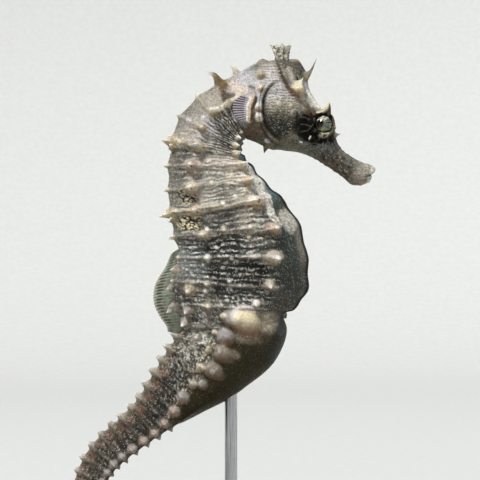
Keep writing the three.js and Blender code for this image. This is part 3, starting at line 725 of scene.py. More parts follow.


# wide soft patches of the ground, some of them painted shade: tone, strength, side view x and z, half sizes,
# turn
TONE_AND_SHADE_PATCHES = [
    ("blush", 0.25, -9.8, 184.6, 8.5, 3.6, 48),
    ("white", 0.5, 8.4, 158.6, 9.5, 4.0, -43),
    ("stone", 0.6, -9.2, 186.0, 3.4, 4.0, 45),
    ("stone", 0.45, -8.4, 186.0, 3.0, 3.0, 0),
    ("pale", 0.55, -4.0, 173.6, 4.6, 3.4, 0),
    ("dark", 0.35, -17.6, 166.0, 4.0, 5.0, 0),
    ("dark", 0.7, -17.4, 79.6, 3.2, 3.0, 0),
    ("dark", 0.4, -14.6, 185.0, 2.4, 2.0, 0),
    ("black", 0.7, -0.4, 119.6, 6.5, 4.4, 0),
    ("lavender", 0.6, -4.6, 180.6, 6.0, 2.8, 42),
    ("lavender", 0.5, -8.6, 176.6, 4.0, 2.6, 30),
    ("blush", 0.4, -14.0, 176.4, 5.5, 4.0, 60),
    ("pale", 0.85, 7.6, 157.6, 11.5, 5.4, -43),
    ("blush", 0.7, 7.4, 159.0, 9.5, 3.6, -43),
    ("blush", 0.45, -5.4, 163.8, 5.0, 3.0, 0),
    ("pale", 0.6, -7.0, 148.0, 5.0, 5.0, 0),
    ("pale", 0.65, 9.6, 142.0, 4.6, 9.0, 7),
    ("grey", 0.6, -14.6, 134.0, 6.5, 4.4, 0),
    ("haze", 0.5, -15.0, 124.6, 7.5, 5.0, 0),
    ("pale", 0.3, -14.6, 124.6, 6.0, 4.0, 0),
    ("stone", 0.6, -14.0, 116.4, 8.0, 3.4, 0),
    ("stone", 0.55, -6.0, 108.0, 6.0, 6.0, 0),
    ("stone", 0.6, -12.6, 95.0, 5.4, 3.4, 52),
    ("pale", 0.6, -12.0, 93.4, 5.4, 3.0, 52),
    ("dark", 0.6, 1.4, 176.0, 3.4, 7.5, -25),
    ("dark", 0.45, -18.0, 166.0, 3.4, 7.0, 0),
    ("dark", 0.4, -17.8, 156.0, 2.6, 5.0, 0),
    ("dark", 0.5, -1.0, 149.5, 3.6, 4.0, 0),
    # painted shade: a black band down the flank just past the side ridge's knobs of the lower rings
    ("black", 0.6, -3.4, 134.6, 2.6, 8.0, 8),
    ("black", 0.6, -0.4, 134.0, 6.0, 5.4, 0),
    ("stone", 0.6, 12.8, 134.0, 5.4, 2.6, 0),
    ("black", 0.8, 12.0, 126.6, 8.0, 4.4, 0),
    ("black", 0.85, 10.6, 120.0, 9.0, 7.0, -15),
    ("black", 0.5, -0.4, 115.6, 6.0, 4.6, 0),
    # these two are painted shade: black under the foot of the dorsal fin
    ("black", 0.8, -19.0, 112.0, 3.6, 6.0, 0),
    ("black", 0.6, -16.0, 103.0, 5.6, 3.6, 0),
]


class Skin:
    """The plain skin's points, pushed out and painted a feature at a time."""

    def __init__(self, mesh):
        self.plain = points_of(mesh)
        self.normal = points_of(mesh, "normal")
        self.station, self.way = values_of(mesh, "station"), values_of(mesh, "way")
        self.arc, self.run = values_of(mesh, "arc"), values_of(mesh, "run")
        self.x, self.y, self.z = self.plain.T
        self.side = np.where(self.y <= 0, NEAR, FAR)
        self.half = np.interp(self.station, body.s, body.half)
        self.lift = np.zeros(len(self.plain))  # along the plain normal
        self.move = np.zeros_like(self.plain)  # anything else
        self.tone = np.tile(TONES["grey"], (len(self.plain), 1))
        self.masks = {}

    def paint(self, tone, amount, where=slice(None)):
        """Mixes a tone over what is there, by an amount for each point."""
        colour = TONES[tone] if isinstance(tone, str) else tone
        amount = np.clip(amount, 0, 1)[:, None]
        self.tone[where] = self.tone[where] * (1 - amount) + colour * amount

    def spot(self, x, z, half_x, half_z, turn=0.0, soft=0.5):
        """1 inside an ellipse of the side view, 0 outside it."""
        c, s = math.cos(math.radians(turn)), math.sin(math.radians(turn))
        dx, dz = self.x - x, self.z - z
        away = np.hypot((dx * c + dz * s) / half_x, (dz * c - dx * s) / half_z)
        return smooth(away, 1 + soft, 1 - soft)

    def stroke(self, points, half):
        """1 on a line through side-view points, 0 a half width away from it."""
        away = np.full(len(self.x), 99.0)
        for (x0, z0), (x1, z1) in zip(points, points[1:]):
            dx, dz = x1 - x0, z1 - z0
            t = np.clip(((self.x - x0) * dx + (self.z - z0) * dz) / (dx * dx + dz * dz), 0, 1)
            away = np.minimum(away, np.hypot(self.x - x0 - t * dx, self.z - z0 - t * dz))
        return smooth(away, half, 0)

    def at_bumps(self, bumps):
        """Pushes every bump out of the skin and gives it its colour."""
        for bump in bumps:
            for side in bump.sides:
                self._raise(bump, side)

    def _raise(self, bump, side):
        """Pushes one bump out on one side, with its seat first and its colours last."""
        row, column = bump.place(side)
        foot, up, along = body.points[row, column], body.up[row], body.along[row]
        near = np.flatnonzero(abs(self.station - body.s[row]) < 1.6)
        gap = self.plain[near] - foot
        out = self.normal[near[np.argmin(np.linalg.norm(gap, axis=1))]]
        gap, fade = bump.trailed(gap)
        away = np.linalg.norm(gap, axis=1)
        if bump.seat:
            wide = np.sqrt(away**2 + 1.1 * (gap @ along) ** 2)  # longer round the body than along it
            self._seat(bump, near, gap, wide, out)
        near, gap, fade, away = (field[away < bump.radius] for field in (near, gap, fade, away))
        inwards = 1 - away / bump.radius
        dome, cone = smooth(away, bump.radius, 0), inwards ** (1.0 + 1.1 * bump.sharp)
        if bump.plump:
            dome = (1 - (away / bump.radius) ** 2) ** 0.9
        share = (dome * (1 - bump.sharp) + cone * bump.sharp) * fade
        rise = np.array([0, side, 0]) * bump.lean[0] + up * bump.lean[2]
        self.move[near] += (out * bump.height)[None] * share[:, None] + rise * (share**bump.point)[:, None]
        self.move[near] += (along * bump.lean[1])[None] * (share**bump.hook)[:, None]
        painted = smooth(inwards, 0.05, 0.45)
        self.paint(bump.tone, 0.85 * painted * fade, near)
        self.bare[near] = np.maximum(self.bare[near], painted)
        if bump.plump:
            grains = self._colour_plump(bump, near, gap[:, 2], inwards, painted, fade)
            self.move[near] += out * 0.12 * (grains * share)[:, None]
        elif bump.height > 1.0:
            # painted shade: the under tone over the lower side of a tall bump
            low = smooth(gap[:, 2], 0.05 * bump.radius, -0.55 * bump.radius)
            self.paint(bump.under, 0.6 * smooth(inwards, 0.0, 0.25) * low, near)
        if bump.height > 1.2 and bump.sharp > 0.3:
            self.paint(bump.tip, 0.85 * smooth(inwards, 0.55, 0.9), near)
        if bump.dot:
            spot = foot + along * 0.8 - up * 0.5
            self.paint("black", smooth(np.linalg.norm(self.plain[near] - spot, axis=1), 0.5, 0.25), near)

    def _seat(self, bump, near, gap, wide, out):
        """The low swelling that a bump stands on, with painted shade underneath."""
        height, radius, tone = bump.seat
        self.move[near] += out * height * smooth(wide, radius, 0)[:, None]
        ragged = 0.3 * noise(self.plain[near], 1.3, 17)
        painted = 0.85 * smooth(wide / radius + ragged, 1.0, 0.4)
        self.paint(tone, painted, near)
        # painted shade: the under tone over the swelling's lower side
        self.paint(bump.under, 0.6 * painted * smooth(gap[:, 2], 0.0, -0.5 * radius), near)

    def _colour_plump(self, bump, near, above, inwards, painted, fade):
        """Paints shade over a full dome's lower side and puts grains on its top, which it gives back."""
        self.even[near] = np.maximum(self.even[near], 0.5 * painted)
        ragged = noise(self.plain[near], 1.6, 18)
        # painted shade: the under tone over the dome's lower side
        low = smooth(above + 0.5 * ragged, 0.1 * bump.radius, -0.7 * bump.radius)
        self.paint(bump.under, 0.9 * smooth(inwards, 0.02, 0.2) * low, near)
        grains = smooth(noise(self.plain[near], 0.8, 19), 0.1, 0.6) * painted * (1 - low)
        self.paint("lavender", 0.35 * grains * fade, near)
        return grains


def shape_rings(skin):
    """Raised bars along the bony rings, with the skin sunk a little between them."""
    s = skin.station
    nearest = np.clip(np.round(s), 12, LAST)
    pitch = np.interp(s, body.s[1:], np.diff(body.run) / np.diff(body.s))
    strength = bar_strength(s, skin.way)
    on_rings = smooth(s, 11.2, 11.8) * (1 - skin.pouch)
    scale = np.interp(skin.half, [0.5, 6, 14], [0.12, 0.7, 1.0])
    width = (0.6 + 0.45 * strength) * (0.8 + 0.4 * noise(skin.plain, 4.0, 12))
    wander = 0.9 * noise(skin.plain, 7.0, 13, 2)
    # mm beyond the ring, towards the tail
    past = ((s - nearest) * pitch + wander * scale) / (0.5 + 0.5 * scale)
    bar = np.exp(-((past / width) ** 2))
    fade = between(skin.way, 0.02, 0.14, 0.76, 0.82)
    uneven = np.clip(0.7 + 0.9 * noise(skin.plain, 3.4, 11, 2), 0.05, 1.4)
    strength = np.minimum(strength, 1.4)
    skin.bar = bar * fade * on_rings * uneven * strength
    # the dip just past each bar: sunk here, and painted with shade in paint_ring_ridges
    skin.below = hump(past, 1.25 * width + 0.5, 0.9) * fade * on_rings * strength
    skin.lift += 1.1 * skin.bar * scale - 0.45 * skin.below * scale
    skin.lift -= 0.055 * skin.half * np.sin(np.pi * s) ** 2 * on_rings
    ridges = hump(skin.way, SUP, 0.018) + hump(skin.way, LAT, 0.02) + hump(skin.way, INF, 0.02)
    skin.lift += 0.35 * ridges * on_rings * scale


# how far apart the folds are, mm, from each station on
FOLD_PITCH = [(10.0, 1.35), (15.2, 1.8), (17.8, 2.3)]


def fold_count():
    """How many folds lie before each distance along the body."""
    starts = np.interp([station for station, _ in FOLD_PITCH], body.s, body.run)
    ends = np.append(starts[1:], body.run[-1])
    folds = np.cumsum((ends - starts) / [pitch for _, pitch in FOLD_PITCH])
    return np.append(starts, body.run[-1]), np.append(0.0, folds)


def shape_folds(skin):
    """Fine broken folds across the body."""
    s, way = skin.station, skin.way
    head = smooth(s, 11.0, 10.2)
    weave = np.stack([skin.run / 3.2 + 50 * (skin.side > 0), skin.arc / 8.0], 1)
    wander = 0.8 * noise(weave, 1.0, 21, 2) + 0.4 * noise(weave * (2.4, 3.0), 1.0, 22)
    wander *= 1 - 0.45 * smooth(s, 17.6, 18.6)
    down = np.interp(skin.run, *fold_count())
    skin.fold = np.where(s < 10.6, -skin.z / 1.15, down) + wander
    trunk = between(s, 11.0, 12.0, 22.5, 23.5)
    side = between(way, 0.12, 0.3, 0.74, 0.84)
    throat = smooth(s, 15.4, 14.2) * smooth(way, 0.32, 0.5)
    skin.pale = between(s, 14.9, 15.6, 17.7, 18.3) * smooth(way, 0.3, 0.4)
    upper = smooth(s, 18.2, 17.6)
    shoulder = smooth(s, 14.8, 13.4) * smooth(way, 0.45, 0.3)
    strength = (0.6 + 0.25 * smooth(way, 0.3, 0.45) * upper) * side * (1 - shoulder) + 0.45 * throat
    tail = smooth(s, 22.6, 23.4) * smooth(way, 0.9, 0.7)
    crown = skin.spot(18.0, 200.0, 4.6, 5.5) * 0.5 + skin.gill * 0.06
    patchy = np.clip(0.75 + 0.9 * noise(skin.plain, 5.0, 23, 3), 0.05, 1.4)
    flank = 0.35 * hump(s, 19.6, 1.3) * side
    lines = trunk * (strength + flank) * patchy + 0.12 * tail + head * crown
    skin.lines = np.clip(lines, 0, 1) * (1 - skin.pouch)
    crest = 0.5 + 0.5 * np.cos(2 * np.pi * skin.fold)
    skin.lift += (0.34 + 0.2 * noise(skin.plain, 1.8, 24)) * (crest**1.3 - 0.4) * skin.lines


def shape_granules(skin):
    """Granules in rows, dashes on the flank and round grains farther down; fine grain on the back."""
    s, way = skin.station, skin.way
    head = smooth(s, 11.0, 10.2)
    trunk = between(s, 11.0, 12.0, 22.5, 23.5)
    side = between(way, 0.12, 0.3, 0.74, 0.84)
    upper = smooth(s, 18.2, 17.6)
    lower = smooth(s, 18.2, 19.8) * smooth(way, 0.8, 0.7)
    cluster = np.clip(0.6 + 1.1 * noise(skin.plain, 5.0, 32, 2), 0.0, 1.3)
    cluster *= np.interp(s, [24, 26, 28], [1, 0.8, 0.45])
    skin.quiet = skin.spot(12.4, 122.6, 8.0, 8.0, 0, 0.5)  # smoother dark skin on the lower flank
    cluster *= 1 - 0.7 * skin.quiet
    skin.lines *= 1 - 0.4 * skin.quiet
    skin.beaded = np.clip(lower * cluster + 0.3 * trunk * side * upper, 0, 1) * (1 - skin.pouch)
    near, own = beads(skin.fold, skin.arc / np.where(s < 22, 1.9, 1.1), 0.8, 31)
    dense = smooth(s, 21.0, 22.6)
    chosen = smooth(own, 0.35 - 0.2 * dense, 0.95 - 0.4 * dense)
    skin.bead = smooth(near, 0.36 + 0.06 * dense, 0.12) * skin.beaded * chosen
    size = np.interp(skin.half, [0.5, 5, 10], [0.1, 0.6, 1.0])
    skin.lift += 0.3 * skin.bead * size
    back = smooth(way, 0.26, 0.12) * trunk + 0.6 * trunk * smooth(s, 14.6, 13.6) * smooth(way, 0.5, 0.35)
    grain, own = beads(skin.run / 0.95, skin.arc / 0.9, 0.9, 41)
    skin.grain = smooth(grain, 0.5, 0.2) * np.clip(back + 0.45 * head * (1 - skin.snout), 0, 1) * own
    skin.lift += 0.13 * skin.grain


def shape_gill_cover(skin):
    """The domed plate behind the cheek, with the groove and the thin rim behind it."""
    x, z, half_x, half_z = GILL
    away = np.hypot((skin.x - x) / half_x, (skin.z - z) / half_z)
    on_head = smooth(skin.station, 10.9, 10.3) * smooth(skin.way, 0.06, 0.14)
    behind = smooth(skin.x - x, 2.5, -2.5)
    edge = (away - 1) * half_x
    skin.gill = smooth(away, 1.04, 0.94) * on_head
    skin.lift += 0.9 * smooth(away, 1.04, 0.86) * on_head * (0.35 + 0.65 * behind)
    skin.lift += (0.45 * smooth(away, 0.95, 0.2) + 0.4 * noise(skin.plain, 2.6, 54, 3) * skin.gill) * on_head
    width = 0.42 + 0.25 * hump(skin.z, 186.0, 7.0)
    skin.groove = hump(edge, 0.5, width) * on_head * (0.1 + 0.9 * behind) * smooth(skin.z, 198.5, 195.5)
    skin.lift -= 0.85 * skin.groove
    rim = hump(edge, 1.45, 0.42) * on_head * behind * smooth(skin.z, 197, 194)
    skin.lift += 0.5 * rim
    # a second dark line behind the rim, painted only, with no groove under it: painted shade
    skin.groove += 0.75 * hump(edge, 2.2, 0.34) * on_head * behind * smooth(skin.z, 197, 194)


def shape_face(skin):
    """Eye sockets with their lids, the hollow of the forehead, the cheeks and the mouth."""
    head = smooth(skin.station, 10.5, 9.5)
    ex, _, ez = eye_middle
    away = np.hypot(skin.x - ex, skin.z - ez)
    outside = smooth(skin.way, 0.08, 0.16) * head
    lid = hump(away, eye_radius * 1.06, 0.7) * outside
    skin.lift += 0.7 * lid
    skin.lift += 0.8 * smooth(away, 7.5, 3.5) * outside
    skin.lift -= 0.6 * hump(away, eye_radius + 2.6, 1.1) * outside * smooth(skin.x, ex - 1, ex - 4)
    # brow ridge from the temple to the spine over the eye
    ridge = skin.stroke([(28.6, 193.0), (33.5, 188.6), (39.0, 186.0)], 2.2) * outside
    skin.lift += 0.9 * ridge
    cheek = skin.stroke([(30.0, 174.0), (40.0, 171.5), (47.0, 168.0)], 2.6)
    skin.lift += 0.35 * cheek * smooth(skin.way, 0.2, 0.3) * head
    # the plates over the crown
    skin.lift += 0.6 * skin.stroke([(21.6, 203.4), (24.4, 196.6), (28.0, 192.6)], 1.5) * outside
    skin.lift -= 0.6 * skin.stroke([(20.2, 202.5), (23.2, 195.6)], 1.1) * outside
    # mouth: a cleft between the jaws, and fuller lips
    front = smooth(skin.station, 1.1, 0.2)
    skin.lift += 0.35 * hump(skin.station, 0.45, 0.4) * front
    skin.cleft = hump(skin.z - 0.12 * (skin.x - 57.0), 159.7, 0.5) * front * smooth(skin.x, 55.2, 56.6)
    skin.lift -= 0.7 * skin.cleft
    # small knots along the snout
    knots, own = beads(skin.run / 2.1, skin.arc / 1.6, 0.9, 55)
    skin.knots = smooth(knots, 0.42, 0.15) * smooth(own, 0.3, 0.7) * smooth(skin.station, 5.2, 4.2)
    skin.lift += 0.22 * skin.knots


SHOULDER_BAR = [(10.9, 190.6), (9.4, 187.0), (9.0, 181.8)]


def shape_shoulder(skin):
    """The bar that carries the pectoral fin, and the ridge that runs from it down the back."""
    near = smooth(skin.way, 0.1, 0.2)
    bar = skin.stroke(SHOULDER_BAR, 1.9) * near
    ridge = skin.stroke([(-4.4, 184.4), (0.4, 187.2), (5.4, 190.6)], 2.6) * near
    collar = skin.stroke([(13.6, 196.0), (13.2, 190.0), (13.4, 184.0)], 1.8) * near
    skin.lift += 1.9 * smooth(bar, 0, 0.8) + 1.2 * ridge + 0.35 * collar
    skin.masks["shoulder"] = (ridge, collar)


def shape_nape(skin):
    """The broad foot of the first ring's spine."""
    near = between(skin.way, 0.04, 0.1, 0.22, 0.4)
    foot = skin.stroke([(-1.8, 195.6), (3.0, 191.6), (7.0, 190.6)], 3.6) * near
    skin.lift += 1.1 * foot
    skin.masks["nape"] = foot


def shape_keel(skin):
    """The thin sharp edge down the middle of the belly."""
    along = between(skin.station, 14.2, 15.2, 22.2, 23.0)
    skin.keel = smooth(skin.way, 0.966, 0.986) * along
    skin.lift += 0.55 * skin.keel


def shape_skin(mesh):
    """The plain body raised by everything but the tubercles."""
    skin = Skin(mesh)
    s, way = skin.station, skin.way
    skin.bare, skin.even = np.zeros(len(s)), np.zeros(len(s))
    skin.pouch = between(s, 22.1, 22.7, 27.6, 28.9) * smooth(way, 0.40, 0.48)
    skin.snout = smooth(s, 4.6, 3.4)
    shape_gill_cover(skin)
    shape_rings(skin)
    shape_folds(skin)
    shape_granules(skin)
    shape_face(skin)
    shape_shoulder(skin)
    shape_nape(skin)
    shape_keel(skin)
    size = np.interp(skin.half, [0.5, 6, 12], [0.1, 0.7, 1.0])
    rough = 0.2 * noise(skin.plain, 5.0, 51, 2) + 0.1 * noise(skin.plain, 1.6, 52, 2)
    skin.lift += size * rough * (1 - 0.7 * skin.pouch)
    return skin


LID_REACH, LID_OPENING = 1.3, 0.86  # shares of the eye's radius
LID_DEPTH = 0.7  # mm the skin lies under the eyeball's surface


def seat_lids(skin, places):
    """Draws the skin in under each eyeball, so that the lid closes round it."""
    ex, ey, ez = eye_middle
    away = np.hypot(places[:, 0] - ex, places[:, 2] - ez)
    near = (away < eye_radius * LID_REACH) & (skin.station < 9) & (abs(skin.y) > 3.2)
    open_to = eye_radius * LID_OPENING
    ball = ey + np.sqrt(np.clip(eye_radius**2 - away**2, 0, None))
    under = ball - LID_DEPTH * smooth(away, open_to, open_to - LID_DEPTH) - 0.05
    out = abs(places[:, 1])
    share = smooth(away, open_to + 0.45, open_to - 0.1)
    out = np.where(near, np.minimum(out, out * (1 - share) + under * share), out)
    places[:, 1] = out * skin.side
    return places


def paint_ground(skin):
    """The colour along the body, in clouds, darker down the middle of the back."""
    tones = np.array([(station, *rgb(code)) for station, code in GROUND])
    skin.paint(np.stack([np.interp(skin.station, tones[:, 0], tone) for tone in tones[:, 1:].T], 1),
               smooth(skin.station, 10.4, 11.4))
    s, way = skin.station, skin.way
    trunk = between(s, 10.6, 11.6, 22.8, 23.6)
    cloud, small = noise(skin.plain, 8.0, 61, 2), noise(skin.plain, 2.6, 62, 2)
    skin.paint("dark", 0.45 * trunk * smooth(cloud + 0.5 * small, 0.05, 0.7) * smooth(s, 12.6, 14))
    skin.paint("pale", 0.6 * trunk * smooth(-cloud - 0.5 * small, 0.1, 0.8) * smooth(s, 19.0, 17.6))
    skin.paint("umber", 0.65 * trunk * smooth(way, 0.34, 0.1) * between(s, 15.0, 15.8, 17.6, 18.4))
    skin.paint("grey", 0.55 * trunk * smooth(way, 0.3, 0.08) * smooth(s, 12.4, 13.2))
    skin.paint("pale", 0.4 * skin.pale * smooth(way, 0.85, 0.8))
    where = smooth(s, 10.8, 11.6) * smooth(way, 0.85, 0.8) * smooth(small, -1.2, 0.3)
    # tonal patches over the ground, some of them painted shade
    for tone, amount, *shape in TONE_AND_SHADE_PATCHES:
        skin.paint(tone, amount * skin.spot(*shape, 0.6) * where)


def paint_throat(skin):
    """The throat, between the head and the lower ridge of the first rings."""
    s, way = skin.station, skin.way
    throat = smooth(s, 10.6, 11.6) * smooth(s, 15.4, 14.2)
    skin.paint("dark", 0.7 * smooth(way, 0.45, 0.62) * throat * smooth(s, 11.4, 12.4))
    skin.paint("umber", 0.9 * smooth(way, 0.74, 0.88) * throat)


def paint_belly(skin):
    """Slate between the lower ridges, with a pale patch, crusts and a brownish lower edge."""
    s, way = skin.station, skin.way
    belly = smooth(way, 0.79, 0.85) * between(s, 14.2, 15.4, 22.4, 23.4)
    small, mottled = noise(skin.plain, 2.2, 67, 2), noise(skin.plain, 4.0, 63, 3)
    skin.paint("slate", 0.95 * belly)
    skin.paint("haze", 0.95 * belly * smooth(s, 18.4, 17.4))
    skin.paint("dark", 0.75 * belly * smooth(s, 18.8, 20.0) * smooth(mottled, -0.45, 0.25))
    skin.paint("stone", 0.7 * belly * between(s, 18.2, 18.8, 19.8, 20.6) * smooth(way, 0.9, 0.95))
    low_edge = smooth(s, 19.8, 20.6) * smooth(way, 0.92, 0.965)
    skin.paint("stone", 0.4 * belly * low_edge * smooth(-mottled, -0.3, 0.3))
    patch = smooth(skin.spot(25.0, 141.8, 2.8, 5.2, 22, 0.5) + 0.25 * small, 0.2, 0.7)
    crumb, own = beads(skin.x / 0.9, skin.z / 0.9, 0.9, 69)
    skin.paint("pale", 0.9 * patch)
    skin.paint("white", 0.7 * patch * smooth(crumb, 0.45, 0.2) * smooth(own, 0.15, 0.5))
    skin.paint("haze", 0.4 * patch * smooth(crumb, 0.45, 0.6))
    crust = skin.stroke([(7.4, 162.0), (11.2, 158.0), (13.8, 153.8), (15.4, 150.8)], 3.6)
    crust = np.maximum(crust, skin.stroke([(17.2, 148.6), (18.6, 144.6), (21.0, 140.2)], 2.0))
    skin.paint("pale", 0.8 * smooth(crust, 0.0, 0.4))
    crumbs = smooth(crust, 0.02, 0.4) * smooth(noise(skin.plain, 1.1, 68, 2), -0.3, 0.0)
    skin.paint("white", 0.9 * crumbs)
    skin.lift += 0.45 * crumbs
    skin.paint("umber", 0.6 * belly * smooth(s, 21.0, 22.2))
    flakes, own = beads(skin.run / 1.5, skin.arc / 1.4, 0.9, 66)
    skin.paint("pale", 0.5 * belly * smooth(flakes, 0.3, 0.1) * smooth(own, 0.6, 0.9) * smooth(s, 18.0, 18.8))


def paint_ring_ridges(skin):
    """Pale ridges, tan on the strong ones, with umber painted shade along their lower edges."""
    s, way = skin.station, skin.way
    trunk, small = smooth(s, 10.6, 11.6), noise(skin.plain, 2.2, 67, 2)
    strong = smooth(bar_strength(s, way), 0.9, 1.4) * smooth(small, -0.8, 0.2)
    # painted shade: umber in the dip just below each ridge
    skin.paint("umber", 0.6 * skin.below * trunk * smooth(s, 14.2, 15.2) * smooth(small, -0.7, 0.3))
    skin.paint("pale", 0.7 * skin.bar * trunk * smooth(s, 24, 23))
    skin.paint("tan", 0.7 * skin.bar * trunk * strong)
    skin.paint("rose", 0.6 * skin.bar * trunk * smooth(small, 0.1, 0.5) * smooth(s, 17.5, 19))


def paint_black_patches(skin):
    """Two black patches with pale worm-like granules under the upper ridge, and a black keel."""
    s, way = skin.station, skin.way
    grains, own = beads(skin.x / 1.1, skin.z / 0.9, 0.95, 70)
    worms = smooth(grains, 0.5, 0.3) * smooth(own, 0.12, 0.3)
    worms = np.maximum(worms, smooth(abs(noise(skin.plain, 1.3, 64)), 0.12, 0.05))
    upper = skin.spot(-15.6, 151.0, 5.6, 2.8, 0, 0.35)
    worms *= 1 - 0.45 * upper
    patch = np.maximum(upper, skin.spot(-14.6, 140.8, 5.4, 3.3, 0, 0.35))
    patch *= smooth(noise(skin.plain, 2.6, 65), -0.55, -0.1) * (skin.side == NEAR) + 0.5 * (skin.side == FAR)
    skin.paint("black", 0.97 * patch)
    skin.paint("sand", patch * worms)
    skin.lift += 0.35 * patch * worms
    skin.masks["patch"] = patch
    skin.paint("black", 0.95 * smooth(way, 0.964, 0.978) * between(s, 14.2, 15.2, 22.2, 23.0))


def paint_beads(skin):
    """Pale tops of the granules and of the fine grain."""
    s, way = skin.station, skin.way
    strong = 0.95 * smooth(s, 18.0, 19.6) * smooth(way, 0.84, 0.6) + 0.35 * smooth(s, 18.4, 17.6)
    strong *= 1 - 0.7 * smooth(s, 25.0, 27.5)
    skin.paint("white", 0.9 * skin.bead * strong)
    skin.paint("pale", 0.55 * skin.grain * (1 - skin.masks["eye"]))
    skin.paint("pale", 0.25 * skin.knots)


def paint_tail(skin):
    """Brown and black with a lilac upper ridge; white flakes and cream grains near the trunk."""
    s, way = skin.station, skin.way
    tail = smooth(s, 22.8, 23.8) * (1 - skin.pouch)
    ring = np.cos(2 * np.pi * s)  # 1 on a ring, -1 between two
    cloud, small = noise(skin.plain, 5.0, 72, 2), noise(skin.plain, 1.7, 73, 2)
    skin.paint("brown", 0.45 * tail * smooth(small, -0.2, 0.5))
    skin.paint("umber", 0.7 * tail * smooth(way, 0.33, 0.45))
    skin.paint("mauve", 0.5 * tail * smooth(small + 0.4 * ring, 0.0, 0.6) * smooth(s, 27.0, 29.0))
    # a black side with a brown edge above it, under the pale upper ridge
    band = smooth(way + 0.04 * small, 0.17, 0.21) * smooth(way, 0.37, 0.32)
    skin.paint("black", 0.75 * tail * band * np.interp(s, [24, 28, 33, 61], [0.8, 1.0, 0.6, 0.5]))
    edge = hump(way + 0.03 * cloud, 0.17, 0.04) * smooth(small - 0.5 * ring, -0.5, 0.1)
    skin.paint("rust", 0.9 * tail * edge * smooth(s, 25.0, 26.5))
    upper = hump(way, 0.12, 0.045) * smooth(s, 23.0, 25.0) * tail
    skin.paint("lilac", 0.7 * upper * smooth(small, -0.6, 0.3))
    skin.paint("brown", 0.5 * tail * smooth(way, 0.09, 0.05) * smooth(cloud, -0.5, 0.3))
    # pale coarse grains where the tail leaves the trunk, fewer and finer down the tail
    grains, own = beads(skin.run / 1.35, skin.arc / 1.15, 0.95, 74)
    dense = smooth(s, 23.0, 24.0) * np.interp(s, [24.5, 26, 29, 61], [1.0, 0.5, 0.15, 0.1])
    speck = smooth(grains, 0.42, 0.15) * smooth(own, 0.9 - 0.8 * dense, 1.1 - 0.6 * dense)
    speck *= tail * between(way, 0.12, 0.18, 0.38, 0.44) * np.clip(0.8 + 1.6 * cloud, 0.1, 1.3)
    skin.paint("cream", 0.85 * speck * np.interp(s, [25, 28], [1.0, 0.7]))
    flakes = smooth(noise(skin.plain, 1.5, 77, 2), 0.05, 0.25) * tail
    flakes *= smooth(s, 26.2, 25.0) * smooth(way, 0.1, 0.16) * smooth(skin.z, 81.5, 86.0)
    skin.paint("white", 0.85 * flakes * smooth(way, 0.4, 0.3) * np.clip(0.5 - 2.0 * cloud, 0, 1))
    skin.lift += 0.35 * speck * np.interp(skin.half, [0.5, 5, 10], [0.1, 0.6, 1.0])


def paint_pouch(skin):
    """Smooth dark brown with a painted slate sheen down its right side, and granular greys along its upper
    edge.
    """
    pouch, small = skin.pouch, noise(skin.plain, 1.2, 82, 2)
    skin.paint("pouch", pouch)
    skin.paint("umber", 0.2 * pouch * smooth(noise(skin.plain, 7, 81, 2), 0.0, 0.7))
    skin.paint("umber", 0.5 * pouch * skin.stroke([(12.6, 97.0), (15.4, 94.4), (18.0, 98.0)], 3.4))
    # painted sheen: slate and haze down the pouch's right side
    skin.paint("slate", 0.6 * pouch * skin.stroke([(23.0, 104.0), (24.4, 97.0), (19.6, 88.0)], 3.4))
    skin.paint("haze", 0.3 * pouch * skin.stroke([(21.6, 103.0), (21.8, 97.0)], 2.6))
    # between the cream lobe and the belly, and beside the mauve lobes
    crumbs = skin.spot(16.8, 102.4, 3.6, 4.8, 0, 0.5)
    crumbs = np.maximum(crumbs, 0.45 * skin.spot(8.0, 95.4, 5.0, 2.0, -12, 0.6))
    crumbs = np.maximum(crumbs, 0.35 * skin.spot(3.2, 88.8, 2.4, 1.4, -20, 0.7)) * pouch
    skin.paint("mottle", 0.95 * crumbs)
    skin.masks["crumbs"] = crumbs * smooth(small, 0.0, 0.35)
    skin.lift += 0.25 * skin.masks["crumbs"]


def head_noise(skin):
    """Blots and finer grain, the same for every part of the head."""
    return noise(skin.plain, 3.4, 91, 2), noise(skin.plain, 1.2, 94, 2)


def paint_crown(skin):
    """Mottled grey, paler behind the coronet and over the brow."""
    head = smooth(skin.station, 11.0, 10.2)
    blot, fine = head_noise(skin)
    skin.paint("grey", 0.9 * head)
    skin.paint("stone", 0.5 * head * smooth(blot + 0.4 * fine, -0.1, 0.5))
    skin.paint("dark", 0.6 * head * smooth(fine - 0.4 * blot, 0.05, 0.5))
    skin.paint("umber", 0.5 * skin.spot(30.5, 202.0, 5.0, 5.0, 0, 0.5) * head)
    skin.paint("pale", 0.95 * skin.spot(17.6, 198.0, 5.4, 6.4, -15) * head)
    skin.paint("lavender", 0.4 * skin.spot(17.8, 198.6, 4.4, 4.4, 0) * head)
    skin.paint("lavender", 0.65 * skin.spot(8.5, 196.0, 5.0, 5.5, 0, 0.6))
    skin.paint("rose", 0.5 * skin.spot(6.4, 192.6, 5.4, 1.8, 8, 0.5))
    skin.paint("lavender", 0.8 * skin.stroke([(32.0, 195.6), (34.6, 190.4), (38.6, 186.8)], 2.8) * head)
    skin.paint("white", 0.6 * skin.stroke([(33.4, 192.4), (36.0, 189.0), (39.4, 187.0)], 1.5) * head)


